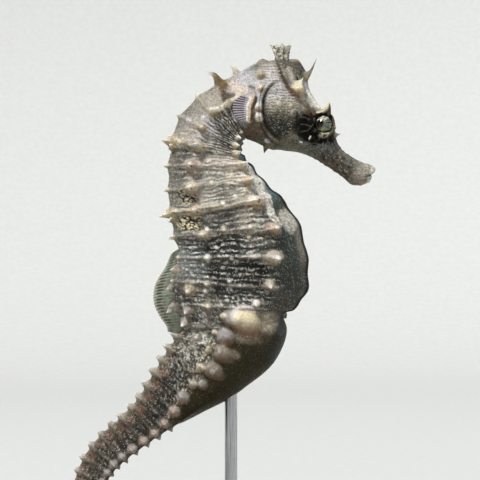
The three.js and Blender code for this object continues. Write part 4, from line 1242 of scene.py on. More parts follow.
def paint_gill_cover(skin):
    """Pale with a painted highlight at the top; darker olive towards the bottom, partly its own colour and
    partly painted shade.
    """
    blot, fine = head_noise(skin)
    skin.paint("pale", 0.9 * skin.gill)
    # painted highlight: lavender over the top of the cover
    skin.paint("lavender", 0.6 * skin.gill * smooth(skin.z, 188.0, 192.0))
    skin.paint("stone", 0.4 * skin.gill * smooth(blot, -0.2, 0.4))
    # olive, then dark, towards the bottom and the rear: partly the cover's own colour, partly painted shade
    skin.paint("olive", 0.7 * skin.gill * smooth(skin.z + 1.2 * blot, 190.0, 184.0))
    skin.paint("dark", 0.6 * skin.gill * smooth(skin.z + 0.35 * skin.x + 2.6 * fine, 196.0, 188.5))
    patches = noise(skin.plain * (1, 1, 1.5), 2.6, 97, 2)
    skin.paint("dark", 0.5 * skin.gill * smooth(patches, 0.1, 0.5))
    skin.paint("pale", 0.5 * skin.gill * smooth(-patches, 0.15, 0.6) * smooth(skin.z, 180.0, 186.0))


def paint_jaw(skin):
    """The pale stripe down to the temple, then the jaw and the foot of the gill cover."""
    head = smooth(skin.station, 11.0, 10.2)
    blot, fine = head_noise(skin)
    skin.paint("pale", 0.75 * skin.stroke([(24.2, 204.0), (26.8, 197.4), (29.4, 194.0)], 1.7) * head)
    lower = smooth(skin.way, 0.5, 0.75) * head
    skin.masks["jaw"] = lower
    skin.paint("olive", 0.75 * lower)
    skin.paint("dark", 0.5 * lower * smooth(blot, -0.1, 0.5))
    dots, own = beads(skin.x / 1.6, skin.z / 1.3, 0.9, 92)
    # painted shade: black over the bottom of the gill cover
    skin.paint("black", 0.95 * skin.gill * smooth(skin.z + 0.1 * skin.x + 1.6 * fine, 187.0, 182.6))
    skin.paint("cream", 0.6 * skin.gill * smooth(dots, 0.26, 0.1) * smooth(own, 0.65, 0.9))
    skin.paint("umber", 0.95 * skin.spot(10.8, 177.4, 6.2, 4.6, 0, 0.35))
    skin.paint("brown", 0.6 * skin.spot(10.8, 177.4, 5.0, 3.4, 0, 0.5))


def paint_snout(skin):
    """Dark and spotted, paler on top, with pale lips round the cleft of the mouth, and painted shade in the
    cleft and inside the mouth.
    """
    s, way = skin.station, skin.way
    blot, fine = head_noise(skin)
    skin.paint("dark", 0.35 * skin.snout)
    skin.paint("umber", 0.85 * skin.snout * smooth(way, 0.25, 0.6))
    skin.paint("dark", 0.6 * skin.snout * smooth(blot + fine, -0.1, 0.5))
    spots, own = beads(skin.run / 2.2, skin.arc / 1.8, 0.8, 56)
    spotted = smooth(spots, 0.42, 0.2) * smooth(own, 0.35, 0.6)
    skin.paint("black", 0.7 * skin.snout * spotted * smooth(way, 0.16, 0.3))
    skin.paint("stone", 0.6 * skin.snout * smooth(way, 0.26, 0.1) * smooth(fine, -0.3, 0.3))
    skin.paint("brown", 0.6 * skin.snout * smooth(way, 0.6, 0.8) * smooth(blot, -0.2, 0.4))
    lips = smooth(s, 1.7, 0.5)
    skin.paint("pale", 0.7 * lips * smooth(way, 0.75, 0.45))
    skin.paint("tan", 0.5 * lips * smooth(way, 0.45, 0.75))
    skin.paint("dark", 0.6 * lips * smooth(abs(noise(skin.plain, 1.6, 93)), 0.14, 0.05))
    skin.paint("white", 0.5 * smooth(s, 0.35, 0.1))
    # painted shade: black in the cleft and dark inside the turned-in lips
    skin.paint("black", 0.9 * skin.cleft)
    skin.paint("dark", smooth(s, -0.05, -0.15))


def paint_eye_region(skin):
    """A black mask round and behind the eye, under a cream brow and before a tan nose."""
    ex, _, ez = eye_middle
    away = np.hypot(skin.x - ex, skin.z - ez)
    outside = smooth(skin.way, 0.05, 0.12) * smooth(skin.station, 9.6, 9.0)
    ragged = 0.12 * noise(skin.plain, 2.5, 95, 2)
    mask = smooth(1 - skin.spot(36.2, 178.6, 9.2, 6.6, -4, 0.9) + ragged, 0.66, 0.42)
    mask = np.maximum(mask, smooth(away, 6.0, 4.8))
    front = smooth(skin.x + 0.2 * (skin.z - 180.0), 41.6, 42.8) * smooth(skin.z, 173.0, 176.0)
    mask *= (1 - 0.9 * front) * outside
    below = skin.spot(36.0, 171.8, 8.0, 3.2, -6, 0.6) * outside
    skin.paint("dark", 0.5 * below)
    skin.paint("haze", 0.5 * below * smooth(noise(skin.plain, 1.6, 98, 2), -0.1, 0.5))
    skin.paint("black", mask)
    under_eye = smooth(skin.z, ez + 0.5, ez - 1.5) * smooth(skin.x, ex - 2.6, ex - 1.0)
    lid = hump(away, eye_radius * 1.12, 0.9) * outside * under_eye
    crumbs = noise(skin.plain, 0.9, 99, 2)
    skin.paint("olive", 0.8 * lid)
    skin.paint("cream", 0.9 * lid * smooth(crumbs, 0.0, 0.25))
    skin.lift += 0.3 * lid * smooth(crumbs, 0.0, 0.25)
    skin.paint("tan", 0.6 * front * between(skin.station, 3.8, 4.4, 7.0, 9.0))
    ridge = skin.stroke([(28.6, 191.8), (33.5, 188.4), (38.6, 186.4)], 2.0) * outside
    skin.paint("pale", 0.9 * ridge)
    skin.masks["eye"] = np.clip(mask * (1 - ridge), 0, 1)


def paint_shoulder(skin):
    """The colours of the raised parts between the gill cover and the first rings."""
    ridge, collar = skin.masks["shoulder"]
    skin.paint("lavender", 0.75 * collar)
    skin.paint("lavender", 0.85 * skin.spot(5.6, 188.6, 4.2, 7.4, 10) * smooth(skin.way, 0.16, 0.26))
    skin.paint("cream", 0.6 * smooth(ridge, 0.1, 0.6))
    skin.paint("umber", 0.7 * skin.stroke([(-4.0, 181.6), (3.0, 184.6)], 1.6) * smooth(skin.way, 0.2, 0.3))
    skin.paint("rose", 0.7 * skin.masks["nape"])


# drawn last, over the tubercles, painted shade and highlights among them: tone, strength, half width,
# side-view points
STROKES = [
    ("brown", 1.0, 1.6, [(20.6, 204.6), (22.0, 199.6), (24.6, 194.8), (26.4, 191.8)]),
    ("dark", 0.85, 0.9, [(21.0, 204.2), (22.4, 199.4), (24.4, 195.6)]),
    # painted shade under the temple knob, in rust and rose
    ("rust", 0.7, 1.3, [(26.4, 191.8), (28.6, 190.6)]),
    ("rose", 0.5, 2.0, [(28.4, 189.6), (31.2, 187.4)]),
    ("white", 0.75, 2.1, [(33.0, 192.8), (34.8, 189.9), (38.0, 187.4)]),
    ("cream", 0.7, 1.8, [(28.4, 196.0), (28.8, 193.4)]),
    ("ochre", 0.95, 2.2, [(-1.2, 197.2), (-1.4, 193.8)]),
    # painted shade: brown down the right flank of the first ring's spine
    ("brown", 0.8, 1.6, [(0.2, 195.4), (-0.4, 192.8)]),
    ("umber", 0.9, 2.3, [(-0.8, 191.3), (2.7, 191.2)]),
    ("dark", 0.8, 1.5, [(-0.8, 189.8), (1.6, 189.0)]),
    ("peach", 0.6, 2.6, [(3.2, 194.4), (6.6, 192.8)]),
    ("blush", 0.85, 2.4, [(2.6, 196.2), (5.2, 194.8), (7.6, 193.8)]),
    ("brown", 0.8, 1.0, [(9.4, 195.2), (11.4, 194.4)]),
    ("peach", 0.9, 2.0, SHOULDER_BAR),
    # painted highlight in white down the left edge of the fin's bar, and painted shade in brown down its
    # right edge
    ("white", 0.85, 1.1, [(9.6, 190.4), (8.2, 186.8), (7.9, 181.8)]),
    ("brown", 0.85, 1.0, [(12.0, 190.4), (10.6, 186.8), (10.2, 182.0)]),
    ("rose", 0.95, 1.2, [(11.4, 185.3), (14.4, 185.1)]),
    ("cream", 0.75, 2.4, [(-4.6, 185.0), (0.4, 187.2), (4.4, 190.0)]),
    ("white", 0.8, 1.8, [(-5.2, 185.6), (-3.6, 185.8)]),
    ("ochre", 0.7, 1.6, [(-4.0, 183.0), (1.0, 185.6), (4.6, 188.0)]),
    ("brown", 0.95, 1.9, [(32.4, 185.0), (34.6, 184.4)]),
    ("black", 0.9, 1.0, [(33.8, 184.4), (34.2, 183.6)]),
    ("cream", 0.8, 1.3, [(36.4, 184.6), (39.2, 184.6)]),
    ("white", 0.7, 1.0, [(38.2, 185.8), (39.2, 187.8)]),
    # painted shade: umber down the right side of the spine over the eye
    ("umber", 0.95, 1.1, [(40.7, 187.4), (40.5, 185.6), (40.3, 183.8)]),
    ("lavender", 0.08, 0.8, [(34.8, 181.7), (35.5, 180.2)]),
    ("lavender", 0.08, 0.8, [(35.0, 177.3), (36.0, 178.6)]),
    # painted highlights: three small white glints below the eye
    ("white", 0.95, 0.6, [(29.4, 173.3), (30.2, 172.9)]),
    ("white", 0.95, 0.5, [(33.2, 174.4), (33.7, 175.2)]),
    ("white", 0.95, 0.7, [(43.0, 170.5), (43.7, 171.0)]),
    ("dark", 0.7, 2.6, [(27.4, 184.0), (27.6, 177.0)]),
    ("black", 0.7, 1.2, [(28.4, 184.4), (28.2, 179.0)]),
    ("white", 0.85, 1.7, [(34.4, 187.8), (38.4, 187.0)]),
    ("black", 0.95, 1.1, [(28.2, 198.4), (28.5, 197.8)]),
    ("umber", 0.85, 1.8, [(22.4, 205.6), (25.4, 204.2), (28.4, 203.6)]),
    ("dark", 0.7, 2.4, [(29.6, 203.0), (30.4, 200.2)]),
    # painted shade: a black band down the flank just past the side ridge's knobs of the lower rings
    ("black", 0.6, 2.6, [(-5.4, 130.0), (-3.6, 120.0), (-2.8, 112.0)]),
    ("lavender", 0.7, 1.8, [(2.0, 100.4), (2.4, 104.4), (5.0, 107.0), (10.0, 107.0)]),
    ("rose", 0.7, 2.2, [(6.0, 106.4), (11.0, 105.6), (13.0, 103.0)]),
    # ochre and rust along the cream lobe's lower side: its warm colour there, deepened as painted shade
    ("ochre", 0.7, 2.6, [(4.4, 99.0), (8.0, 98.4), (12.6, 100.0)]),
    ("rust", 0.7, 1.6, [(5.0, 97.8), (8.4, 97.4), (12.0, 98.4)]),
    # painted highlight: sand across the top of the cream lobe
    ("sand", 0.8, 1.8, [(4.8, 104.8), (9.0, 104.2)]),
    ("peach", 0.95, 2.2, [(8.4, 148.8), (14.6, 149.6)]),
    ("white", 0.85, 1.5, [(9.2, 150.0), (14.0, 150.6)]),
    # painted shade: ochre under the lower ridge's bar of ring 7
    ("ochre", 0.6, 1.2, [(9.0, 147.0), (14.6, 147.4)]),
    ("black", 0.95, 0.6, [(12.3, 149.6), (12.6, 148.6)]),
    ("olive", 0.5, 1.2, [(2.0, 155.6), (4.0, 154.4)]),
    ("white", 0.5, 1.6, [(9.0, 128.4), (13.0, 128.0)]),
    ("umber", 0.45, 2.8, [(-6.2, 82.4), (-4.6, 81.4)]),
    ("umber", 0.4, 3.4, [(9.0, 121.0), (10.0, 119.0)]),
]
# pale threads over the black round the eye
THREADS = [
    [(29.8, 182.8), (31.6, 182.8), (33.1, 182.0)],
    [(29.8, 180.0), (31.4, 180.0), (33.6, 179.2)],
    [(29.4, 176.9), (32.5, 177.5), (34.4, 179.6)],
    [(33.0, 173.6), (34.0, 174.8)],
    [(28.4, 172.8), (30.6, 172.0), (35.0, 172.6), (40.0, 171.4)],
]


def paint_over(skin):
    """The markings that lie over the tubercles, painted shade and highlights among them."""
    on_side = smooth(skin.way, 0.02, 0.07) * between(skin.station, 3.6, 4.4, 22.0, 23.0)
    torn = 0.35 * noise(skin.plain, 1.5, 96, 2)
    for tone, strength, half, points in STROKES:
        line = skin.stroke(points, half)
        skin.paint(tone, strength * smooth(line + torn * smooth(line, 0.0, 0.4), 0.1, 0.75) * on_side)
    # painted shade: black in the groove behind the gill cover and along the line behind its rim
    skin.paint("black", 0.97 * skin.groove)
    for points in THREADS:
        skin.paint("stone", 0.2 * smooth(skin.stroke(points, 0.42), 0.1, 0.8) * on_side)
    skin.paint("cream", 0.75 * skin.masks["crumbs"])


def paint_skin(skin):
    """All colour that lies under the tubercles, in order, each part over the one before."""
    paint_ground(skin)
    paint_throat(skin)
    paint_belly(skin)
    paint_ring_ridges(skin)
    paint_black_patches(skin)
    paint_tail(skin)
    paint_pouch(skin)
    paint_crown(skin)
    paint_gill_cover(skin)
    paint_jaw(skin)
    paint_snout(skin)
    paint_eye_region(skin)
    paint_shoulder(skin)
    paint_beads(skin)


def refine(mesh, bumps):
    """Splits the faces under the sharper spines, so that their points stay crisp."""
    fine = bmesh.new()
    fine.from_mesh(mesh)
    fine.verts.ensure_lookup_table()
    feet = []
    for bump in bumps:
        if bump.height > 1.1 and (bump.sharp > 0.6 or bump.hook > 3):
            for side in bump.sides:
                row, column = bump.place(side)
                feet.append((row, column, bump.radius * 0.75))
    columns = 2 * HALF_COLUMNS
    picked = set()
    for row, column, reach in feet:
        foot = Vector(body.points[row, column] * MM)
        low, high = max(row - 9, 0), min(row + 9, len(body.s) - 1)
        for r in range(low, high + 1):
            for step in range(-12, 13):
                vert = fine.verts[(r + LIP_ROWS) * columns + (column + step) % columns]
                if (vert.co - foot).length < reach * MM:
                    picked.add(vert)
    edges = {edge for vert in picked for edge in vert.link_edges if edge.other_vert(vert) in picked}
    bmesh.ops.subdivide_edges(fine, edges=list(edges), cuts=1, use_grid_fill=True)
    fine.to_mesh(mesh)
    fine.free()


def make_skin():
    """The whole skin: raised, painted, and given its places as the material needs them."""
    mesh = grid_mesh()
    refine(mesh, BUMPS)
    skin = shape_skin(mesh)
    paint_skin(skin)
    skin.at_bumps(BUMPS)
    paint_over(skin)
    places = skin.plain + skin.normal * skin.lift[:, None] + skin.move
    places = seat_lids(skin, places)
    mesh.vertices.foreach_set("co", (places * MM).astype(np.float32).ravel())
    bare = 1 - skin.bare
    lined = skin.lines * bare
    patch = skin.masks["patch"]
    flecked = bare * (1 - 0.8 * skin.pouch) * (1 - skin.masks["eye"])
    grooved = np.clip(lined * (1 - 0.5 * skin.pale) + 0.6 * skin.gill * bare, 0, 1)
    dull = skin.masks["eye"] + 0.5 * skin.quiet + 0.5 * skin.pouch * (1 - skin.even)
    keep(
        mesh,
        weave=np.stack([skin.fold, skin.arc / 1.8, 9.0 * skin.side], 1),
        lines=lined * (1 - patch),
        grooves=grooved * (1 - patch),
        flecks=flecked * (1 - skin.keel) * (1 - 0.6 * skin.masks["jaw"]),
        even=skin.even,
        gloss=skin.pouch * 0.5,
        dull=np.clip(dull, 0, 1),
    )
    colours = np.concatenate([skin.tone, np.ones((len(skin.tone), 1))], 1)
    tone = mesh.attributes.new("tone", "FLOAT_COLOR", "POINT")
    tone.data.foreach_set("color", colours.astype(np.float32).ravel())
    for name in ("station", "way", "arc", "run"):
        mesh.attributes.remove(mesh.attributes[name])
    mesh.shade_smooth()
    mesh.update()
    return show("seahorse_skin", mesh, skin_material(), "skin", *FLESH)


# ------------------------------------------------------------------ pieces and materials
def show(name, mesh, material, slot, *nodes):
    """Puts a mesh in the scene as a piece that stands for some of the solids."""
    mesh.materials.append(material)
    piece = bpy.data.objects.new(name, mesh)
    bpy.context.scene.collection.objects.link(piece)
    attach(piece, "root")
    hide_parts(*nodes)
    return piece


WEAVE_CELL = 1000.0  # mm: a field without a unit, at a scale of one


class Paint:
    """Short-hand for a material's node tree."""

    def __init__(self, name, **shader):
        self.material = bpy.data.materials.new(name)
        self.material.use_nodes = True
        self.tree = self.material.node_tree
        self.shader = self.tree.nodes["Principled BSDF"]
        for socket, value in shader.items():
            self.shader.inputs[socket.replace("_", " ")].default_value = value
        self.place = self.node("ShaderNodeTexCoord").outputs["Object"]

    def node(self, kind, **settings):
        made = self.tree.nodes.new(kind)
        for name, value in settings.items():
            setattr(made, name, value)
        return made

    def feed(self, socket, value):
        if isinstance(value, bpy.types.NodeSocket):
            self.tree.links.new(value, socket)
        elif isinstance(value, (tuple, list, np.ndarray)):
            socket.default_value = (*[float(v) for v in value], 1.0)[: len(socket.default_value)]
        else:
            socket.default_value = value

    def math(self, operation, *values):
        made = self.node("ShaderNodeMath", operation=operation)
        for socket, value in zip(made.inputs, values):
            self.feed(socket, value)
        return made.outputs[0]

    def times(self, first, second):
        return self.math("MULTIPLY", first, second)

    def plus(self, first, second):
        return self.math("ADD", first, second)

    def minus(self, first, second):
        return self.math("SUBTRACT", first, second)

    def attribute(self, name, output="Fac"):
        return self.node("ShaderNodeAttribute", attribute_name=name).outputs[output]

    def step(self, value, low, high, to_low=0.0, to_high=1.0):
        """A soft step of a value between low and high."""
        made = self.node("ShaderNodeMapRange", interpolation_type="SMOOTHSTEP")
        for socket, number in zip(made.inputs, (value, low, high, to_low, to_high)):
            self.feed(socket, number)
        return made.outputs[0]

    def mix(self, share, first, second, blend="MIX"):
        made = self.node("ShaderNodeMix", data_type="RGBA", blend_type=blend)
        self.feed(made.inputs["Factor"], share)
        self.feed(made.inputs[6], first)
        self.feed(made.inputs[7], second)
        return made.outputs[2]

    def scaled(self, size_mm, where=None, stretch=(1, 1, 1)):
        """Object coordinates in cells of a size."""
        made = self.node("ShaderNodeMapping")
        self.feed(made.inputs["Vector"], where or self.place)
        for axis in range(3):
            made.inputs["Scale"].default_value[axis] = stretch[axis] / (size_mm * MM)
        return made.outputs[0]

    def noise(self, size_mm, detail=2.0, roughness=0.55, stretch=(1, 1, 1), where=None):
        made = self.node("ShaderNodeTexNoise")
        self.feed(made.inputs["Vector"], self.scaled(size_mm, where, stretch))
        self.feed(made.inputs["Scale"], 1.0)
        self.feed(made.inputs["Detail"], detail)
        self.feed(made.inputs["Roughness"], roughness)
        return made.outputs["Fac"]

    def cells(self, size_mm, output="Distance", where=None):
        made = self.node("ShaderNodeTexVoronoi")
        self.feed(made.inputs["Vector"], self.scaled(size_mm, where))
        self.feed(made.inputs["Scale"], 1.0)
        return made.outputs[output]

    def bump(self, height, depth_mm, strength=1.0):
        made = self.node("ShaderNodeBump")
        self.feed(made.inputs["Height"], height)
        made.inputs["Distance"].default_value = depth_mm * MM
        made.inputs["Strength"].default_value = strength
        self.feed(self.shader.inputs["Normal"], made.outputs[0])

    def grey(self, value):
        made = self.node("ShaderNodeCombineColor")
        for socket in made.inputs[:3]:
            self.feed(socket, value)
        return made.outputs[0]

    def split(self, vector):
        made = self.node("ShaderNodeSeparateXYZ")
        self.feed(made.inputs[0], vector)
        return made.outputs[:3]

    def colour(self, value):
        self.feed(self.shader.inputs["Base Color"], value)

    def rough(self, value):
        self.feed(self.shader.inputs["Roughness"], value)


def skin_material():
    """The painted colours, with the folds' crests and gaps, flecks, pores and fine grain over them."""
    p = Paint("seahorse skin", IOR=1.42)
    p.feed(p.shader.inputs["Specular IOR Level"], p.step(p.attribute("dull"), 0.0, 1.0, 0.3, 0.05))
    weave = p.attribute("weave", "Vector")  # across the folds, along them, side
    fold, _, _ = p.split(weave)
    fold = p.plus(fold, p.times(p.noise(1.7, 3), 0.55))
    wave = p.math("COSINE", p.times(fold, 2 * math.pi))
    wave = p.plus(wave, p.step(p.noise(0.9, 2), 0.3, 0.7, -0.7, 0.7))
    breaks = p.step(p.noise(WEAVE_CELL, 2, where=weave), 0.38, 0.62, 0.0, 1.0)
    crest = p.times(p.step(wave, 0.2, 0.95), p.times(p.attribute("lines"), breaks))
    gap = p.times(p.step(wave, 0.0, -0.9), p.attribute("grooves"))
    tone = p.attribute("tone", "Color")
    shade = p.step(p.noise(0.8, 4, 0.65), 0.25, 0.75, 0.5, 1.36)
    tone = p.mix(p.minus(1.0, p.attribute("even")), tone, p.grey(shade), "MULTIPLY")
    tone = p.mix(p.times(gap, 0.8), tone, rgb("23201a"))
    tone = p.mix(p.times(crest, 0.95), tone, rgb("dcd8d0"))
    cell = p.cells(0.75)
    chosen = p.step(p.cells(0.75, "Color"), 0.5, 0.75)
    fleck = p.times(p.step(cell, 0.38, 0.16), p.times(chosen, p.attribute("flecks")))
    tone = p.mix(p.times(fleck, 0.5), tone, rgb("dcd7ca"))
    pores = p.times(p.step(p.cells(0.5), 0.22, 0.08), 0.55)
    tone = p.mix(pores, tone, rgb("22201c"))
    p.colour(tone)
    rough = p.step(p.noise(1.1, 3), 0.3, 0.7, 0.42, 0.62)
    p.rough(p.minus(rough, p.times(p.attribute("gloss"), 0.14)))
    grain = p.plus(p.noise(0.45, 3, 0.6), p.times(fleck, 0.8))
    p.bump(p.minus(grain, pores), 0.2, 0.9)
    return p.material


# ------------------------------------------------------------------ eyes
EYE_ROWS, EYE_COLUMNS = 56, 96
PUPIL_HALF_ANGLE = 21.0  # degrees, seen from the middle of the ball
PUPIL_AIM = (-0.34, 0.93, 0.04)  # where the pupil of the left eye points


def sheet_mesh(name, points, closed_round, uv=True):
    """A mesh over a grid of points, optionally closed into a tube, with an even unwrap."""
    rows, columns = points.shape[:2]
    index = np.arange(rows * columns).reshape(rows, columns)
    if closed_round:
        index = np.concatenate([index, index[:, :1]], 1)
    a, b = index[:-1, :-1], index[1:, :-1]
    quads = np.stack([a, index[:-1, 1:], index[1:, 1:], b], -1)
    mesh = bpy.data.meshes.new(name)
    mesh.from_pydata((points.reshape(-1, 3) * MM).tolist(), [], quads.reshape(-1, 4).tolist())
    if uv:
        v, u = np.linspace(0.01, 0.99, index.shape[0]), np.linspace(0.01, 0.99, index.shape[1])
        grid = np.stack(np.meshgrid(u, v), -1)
        flat = np.stack([grid[:-1, :-1], grid[:-1, 1:], grid[1:, 1:], grid[1:, :-1]], 2)
        layer = mesh.uv_layers.new(name="OFBake")
        layer.data.foreach_set("uv", flat.astype(np.float32).ravel())
    return mesh


def keep(mesh, **fields):
    """Stores named numbers on a mesh's points for its material to read."""
    for name, values in fields.items():
        values = np.asarray(values, np.float32)
        vector = values.ndim == 2
        made = mesh.attributes.new(name, "FLOAT_VECTOR" if vector else "FLOAT", "POINT")
        made.data.foreach_set("vector" if vector else "value", values.ravel())


def merge_poles(mesh):
    """Joins the points that lie in one place at the ends of a turned sheet."""
    whole = bmesh.new()
    whole.from_mesh(mesh)
    bmesh.ops.remove_doubles(whole, verts=whole.verts, dist=1e-7)
    bmesh.ops.recalc_face_normals(whole, faces=whole.faces)
    whole.to_mesh(mesh)
    whole.free()
    mesh.shade_smooth()
    mesh.update()


def make_eye(name, side):
    """An eyeball whose pole is the pupil, with a low clear bulge over it."""
    aim = np.array(PUPIL_AIM) * (1, side, 1)
    aim /= np.linalg.norm(aim)
    right = np.cross(aim, (0, 0, 1))
    right /= np.linalg.norm(right)
    above = np.cross(right, aim)
    ring = np.linspace(0, math.pi, EYE_ROWS)[:, None]
    turn = np.linspace(0, 2 * math.pi, EYE_COLUMNS, endpoint=False)[None]
    bulge = 0.30 * np.exp(-((np.degrees(ring) / 26) ** 2)) + 0.10 * hump(np.degrees(ring), 34, 7)
    folds = 0.05 * np.cos(9 * turn + 3 * ring) * smooth(np.degrees(ring), 34, 50)
    radius = eye_radius - 0.12 + bulge + folds
    way = (
        np.cos(ring)[..., None] * aim
        + (np.sin(ring) * np.cos(turn))[..., None] * right
        + (np.sin(ring) * np.sin(turn))[..., None] * above
    )
    middle = eye_middle * (1, side, 1)
    mesh = sheet_mesh(name, middle + way * radius[..., None], True)
    whole = np.ones_like(turn) * ring
    around = np.stack([side * np.cos(turn) + 0 * ring, np.sin(turn) + 0 * ring, 0 * whole], -1)
    keep(mesh, from_pupil=np.degrees(whole).ravel(), around=around.reshape(-1, 3))
    merge_poles(mesh)
    show(name + "_ball", mesh, eye_material(), "eye", name)


def eye_material():
    """A black pupil in a brown ring, a grey-green iris in rays, and cream crumbs above and below."""
    if "seahorse eye" in bpy.data.materials:
        return bpy.data.materials["seahorse eye"]
    p = Paint("seahorse eye", IOR=1.36, Coat_Weight=0.6, Coat_Roughness=0.02, Coat_IOR=1.36)
    ring = p.attribute("from_pupil")
    around = p.attribute("around", "Vector")
    # around is one metre long to the texture, so its patches are sized against that
    wobble = p.plus(ring, p.times(p.minus(p.noise(600, 2, where=around), 0.5), 5.0))
    rays = p.noise(140, 3, 0.6, where=around)
    iris = p.mix(p.step(rays, 0.42, 0.58), rgb("2f352d"), rgb("727d6c"))
    iris = p.mix(p.step(p.noise(1.0, 3), 0.5, 0.66), iris, rgb("9c9a80"))
    outer = p.mix(p.step(rays, 0.44, 0.56), rgb("171a18"), rgb("66746b"))
    outer = p.mix(p.step(p.noise(1.6, 3), 0.54, 0.66), outer, rgb("858b79"))
    tone = p.mix(p.step(wobble, 44, 58), iris, outer)
    # cream crumbs above and under the pupil, dark before it, and a brown ring round it
    ahead, above, _ = p.split(around)
    tone = p.mix(p.times(p.step(ahead, 0.1, -0.6), 0.8), tone, rgb("15151a"))
    crumbs = p.step(p.noise(0.8, 2), 0.42, 0.56)
    top = p.times(p.step(above, 0.45, 0.85), p.step(wobble, 24, 30))
    tone = p.mix(p.times(top, crumbs), tone, rgb("d8d0b6"))
    low = p.times(p.step(above, -0.55, -0.85), p.step(wobble, 28, 36))
    tone = p.mix(p.times(low, p.times(crumbs, 0.8)), tone, rgb("aaa37e"))
    halo = p.times(p.step(ring, 20.5, 22.0), p.step(ring, 29.0, 24.0))
    tone = p.mix(p.times(halo, 0.85), tone, rgb("54452c"))
    tone = p.mix(p.step(wobble, PUPIL_HALF_ANGLE + 0.8, PUPIL_HALF_ANGLE - 0.8), tone, rgb("050505"))
    p.colour(tone)
    p.rough(p.step(ring, 25, 60, 0.12, 0.34))
    return p.material


# ------------------------------------------------------------------ coronet
CROWN_POINTS = 9
CROWN_ROWS, CROWN_COLUMNS = 60, 160


def make_coronet():
    """A short column that opens into a crown of ragged points, hollow on top."""
    x, _, _ = coronet_middle
    low, high = coronet_middle[2] - coronet_size[2] / 2, coronet_middle[2] + coronet_size[2] / 2
    foot = low - 1.6  # set into the head
    turn = np.linspace(0, 2 * math.pi, CROWN_COLUMNS, endpoint=False)[None]
    # height share, radius, reach of the points; out and up, then down into the hollow
    shape = [(0.0, 4.4, 0.0), (0.14, 3.8, 0.0), (0.26, 3.1, 0.0), (0.44, 2.75, 0.1), (0.6, 2.8, 0.2)]
    shape += [(0.74, 3.1, 0.3), (0.86, 3.3, 0.5), (0.95, 3.4, 0.7), (1.0, 3.3, 0.8)]
    shape += [(0.965, 2.9, 0.6), (0.92, 2.4, 0.3), (0.88, 1.7, 0.1), (0.86, 0.9, 0.0), (0.85, 0.0, 0.0)]
    t = np.linspace(0, len(shape) - 1, CROWN_ROWS)
    table = np.array([(i, *row) for i, row in enumerate(shape)])
    rise, radius, reach = through(table, t).T[:, :, None]
    wave = CROWN_POINTS * turn
    peak = (0.5 + 0.5 * np.cos(wave)) ** 2.2
    near_top = smooth(rise, 0.55, 0.95)
    uneven = 1 + 0.5 * np.cos(turn * 2 + 0.4) * near_top
    flute = 0.12 * np.cos(wave) * smooth(rise, 0.2, 0.6)
    out = radius * (1 + 0 * turn) + reach * peak * uneven + flute
    drop = (0.9 * (1 - peak) + 0.7 * (0.5 + 0.5 * np.cos(3 * turn + 1.3)) * peak) * near_top
    z = foot + rise * (high - foot) - drop
    lean = -0.9 * np.clip((z - low) / (high - low), 0, 1)
    points = np.stack([x + lean + np.cos(turn) * out, np.sin(turn) * out, z], -1)
    flat = points.reshape(-1, 3)
    rough = 0.45 * noise(flat, 1.8, 201, 2) + 0.14 * noise(flat, 0.6, 202)
    warts, _ = beads(turn.repeat(CROWN_ROWS, 0).ravel() * 3.2, flat[:, 2] / 0.8, 0.8, 203)
    away = flat - np.array([x, 0, 0])
    away[:, 2] = 0
    away /= np.linalg.norm(away, axis=1)[:, None] + 1e-6
    flat = flat + away * (rough + 0.16 * smooth(warts, 0.4, 0.1))[:, None]
    mesh = sheet_mesh("coronet", flat.reshape(points.shape), True)
    tip = (peak * smooth(rise, 0.6, 1.0)).ravel()
    hollow = (np.arange(CROWN_ROWS)[:, None] / CROWN_ROWS * np.ones_like(turn)).ravel()
    keep(mesh, tip=tip, rise=(rise * np.ones_like(turn)).ravel(), hollow=smooth(hollow, 0.72, 0.9))
    merge_poles(mesh)
    show("coronet_crown", mesh, coronet_material(), "crown", "coronet")


def coronet_material():
    """Pale and warty, with a dark foot, brown patches and a dark hollow."""
    p = Paint("seahorse coronet", IOR=1.45)
    tone = p.mix(p.step(p.noise(2.2, 4), 0.38, 0.62), rgb("aaa392"), rgb("dfdacb"))
    tone = p.mix(p.step(p.attribute("rise"), 0.5, 0.25), tone, rgb("4f4a3f"))
    cell = p.cells(0.6)
    tone = p.mix(p.times(p.step(cell, 0.35, 0.12), 0.7), tone, rgb("e2dac6"))
    tone = p.mix(p.times(p.step(p.noise(1.3, 3), 0.5, 0.6), 0.85), tone, rgb("463c2e"))
    tone = p.mix(p.times(p.attribute("tip"), 0.8), tone, rgb("ded7c4"))
    tone = p.mix(p.times(p.attribute("hollow"), 0.5), tone, rgb("4b4032"))
    p.colour(tone)
    p.rough(p.step(p.noise(0.9, 2), 0.3, 0.7, 0.5, 0.68))
    p.bump(p.plus(p.noise(0.4, 3), cell), 0.14, 0.8)
    return p.material


# ------------------------------------------------------------------ fins
def leaf(name, middle, across, half_thick):
    """A closed thin fin: two skins either side of a middle sheet of points, joined round the rim."""
    rows, columns = middle.shape[:2]
    front, rear = middle + across * half_thick[..., None], middle - across * half_thick[..., None]
    loop = np.concatenate([front, rear[:, ::-1]], 1)
    mesh = sheet_mesh(name, loop, True)
    fine = bmesh.new()
    fine.from_mesh(mesh)
    fine.verts.ensure_lookup_table()
    width = 2 * columns
    for row in (0, rows - 1):
        base = row * width
        for i in range(columns - 1):
            corners = [base + i, base + i + 1, base + width - 2 - i, base + width - 1 - i]
            fine.faces.new([fine.verts[c] for c in corners])
    bmesh.ops.recalc_face_normals(fine, faces=fine.faces)
    fine.to_mesh(mesh)
    fine.free()
    mesh.shade_smooth()
    mesh.update()
    return mesh


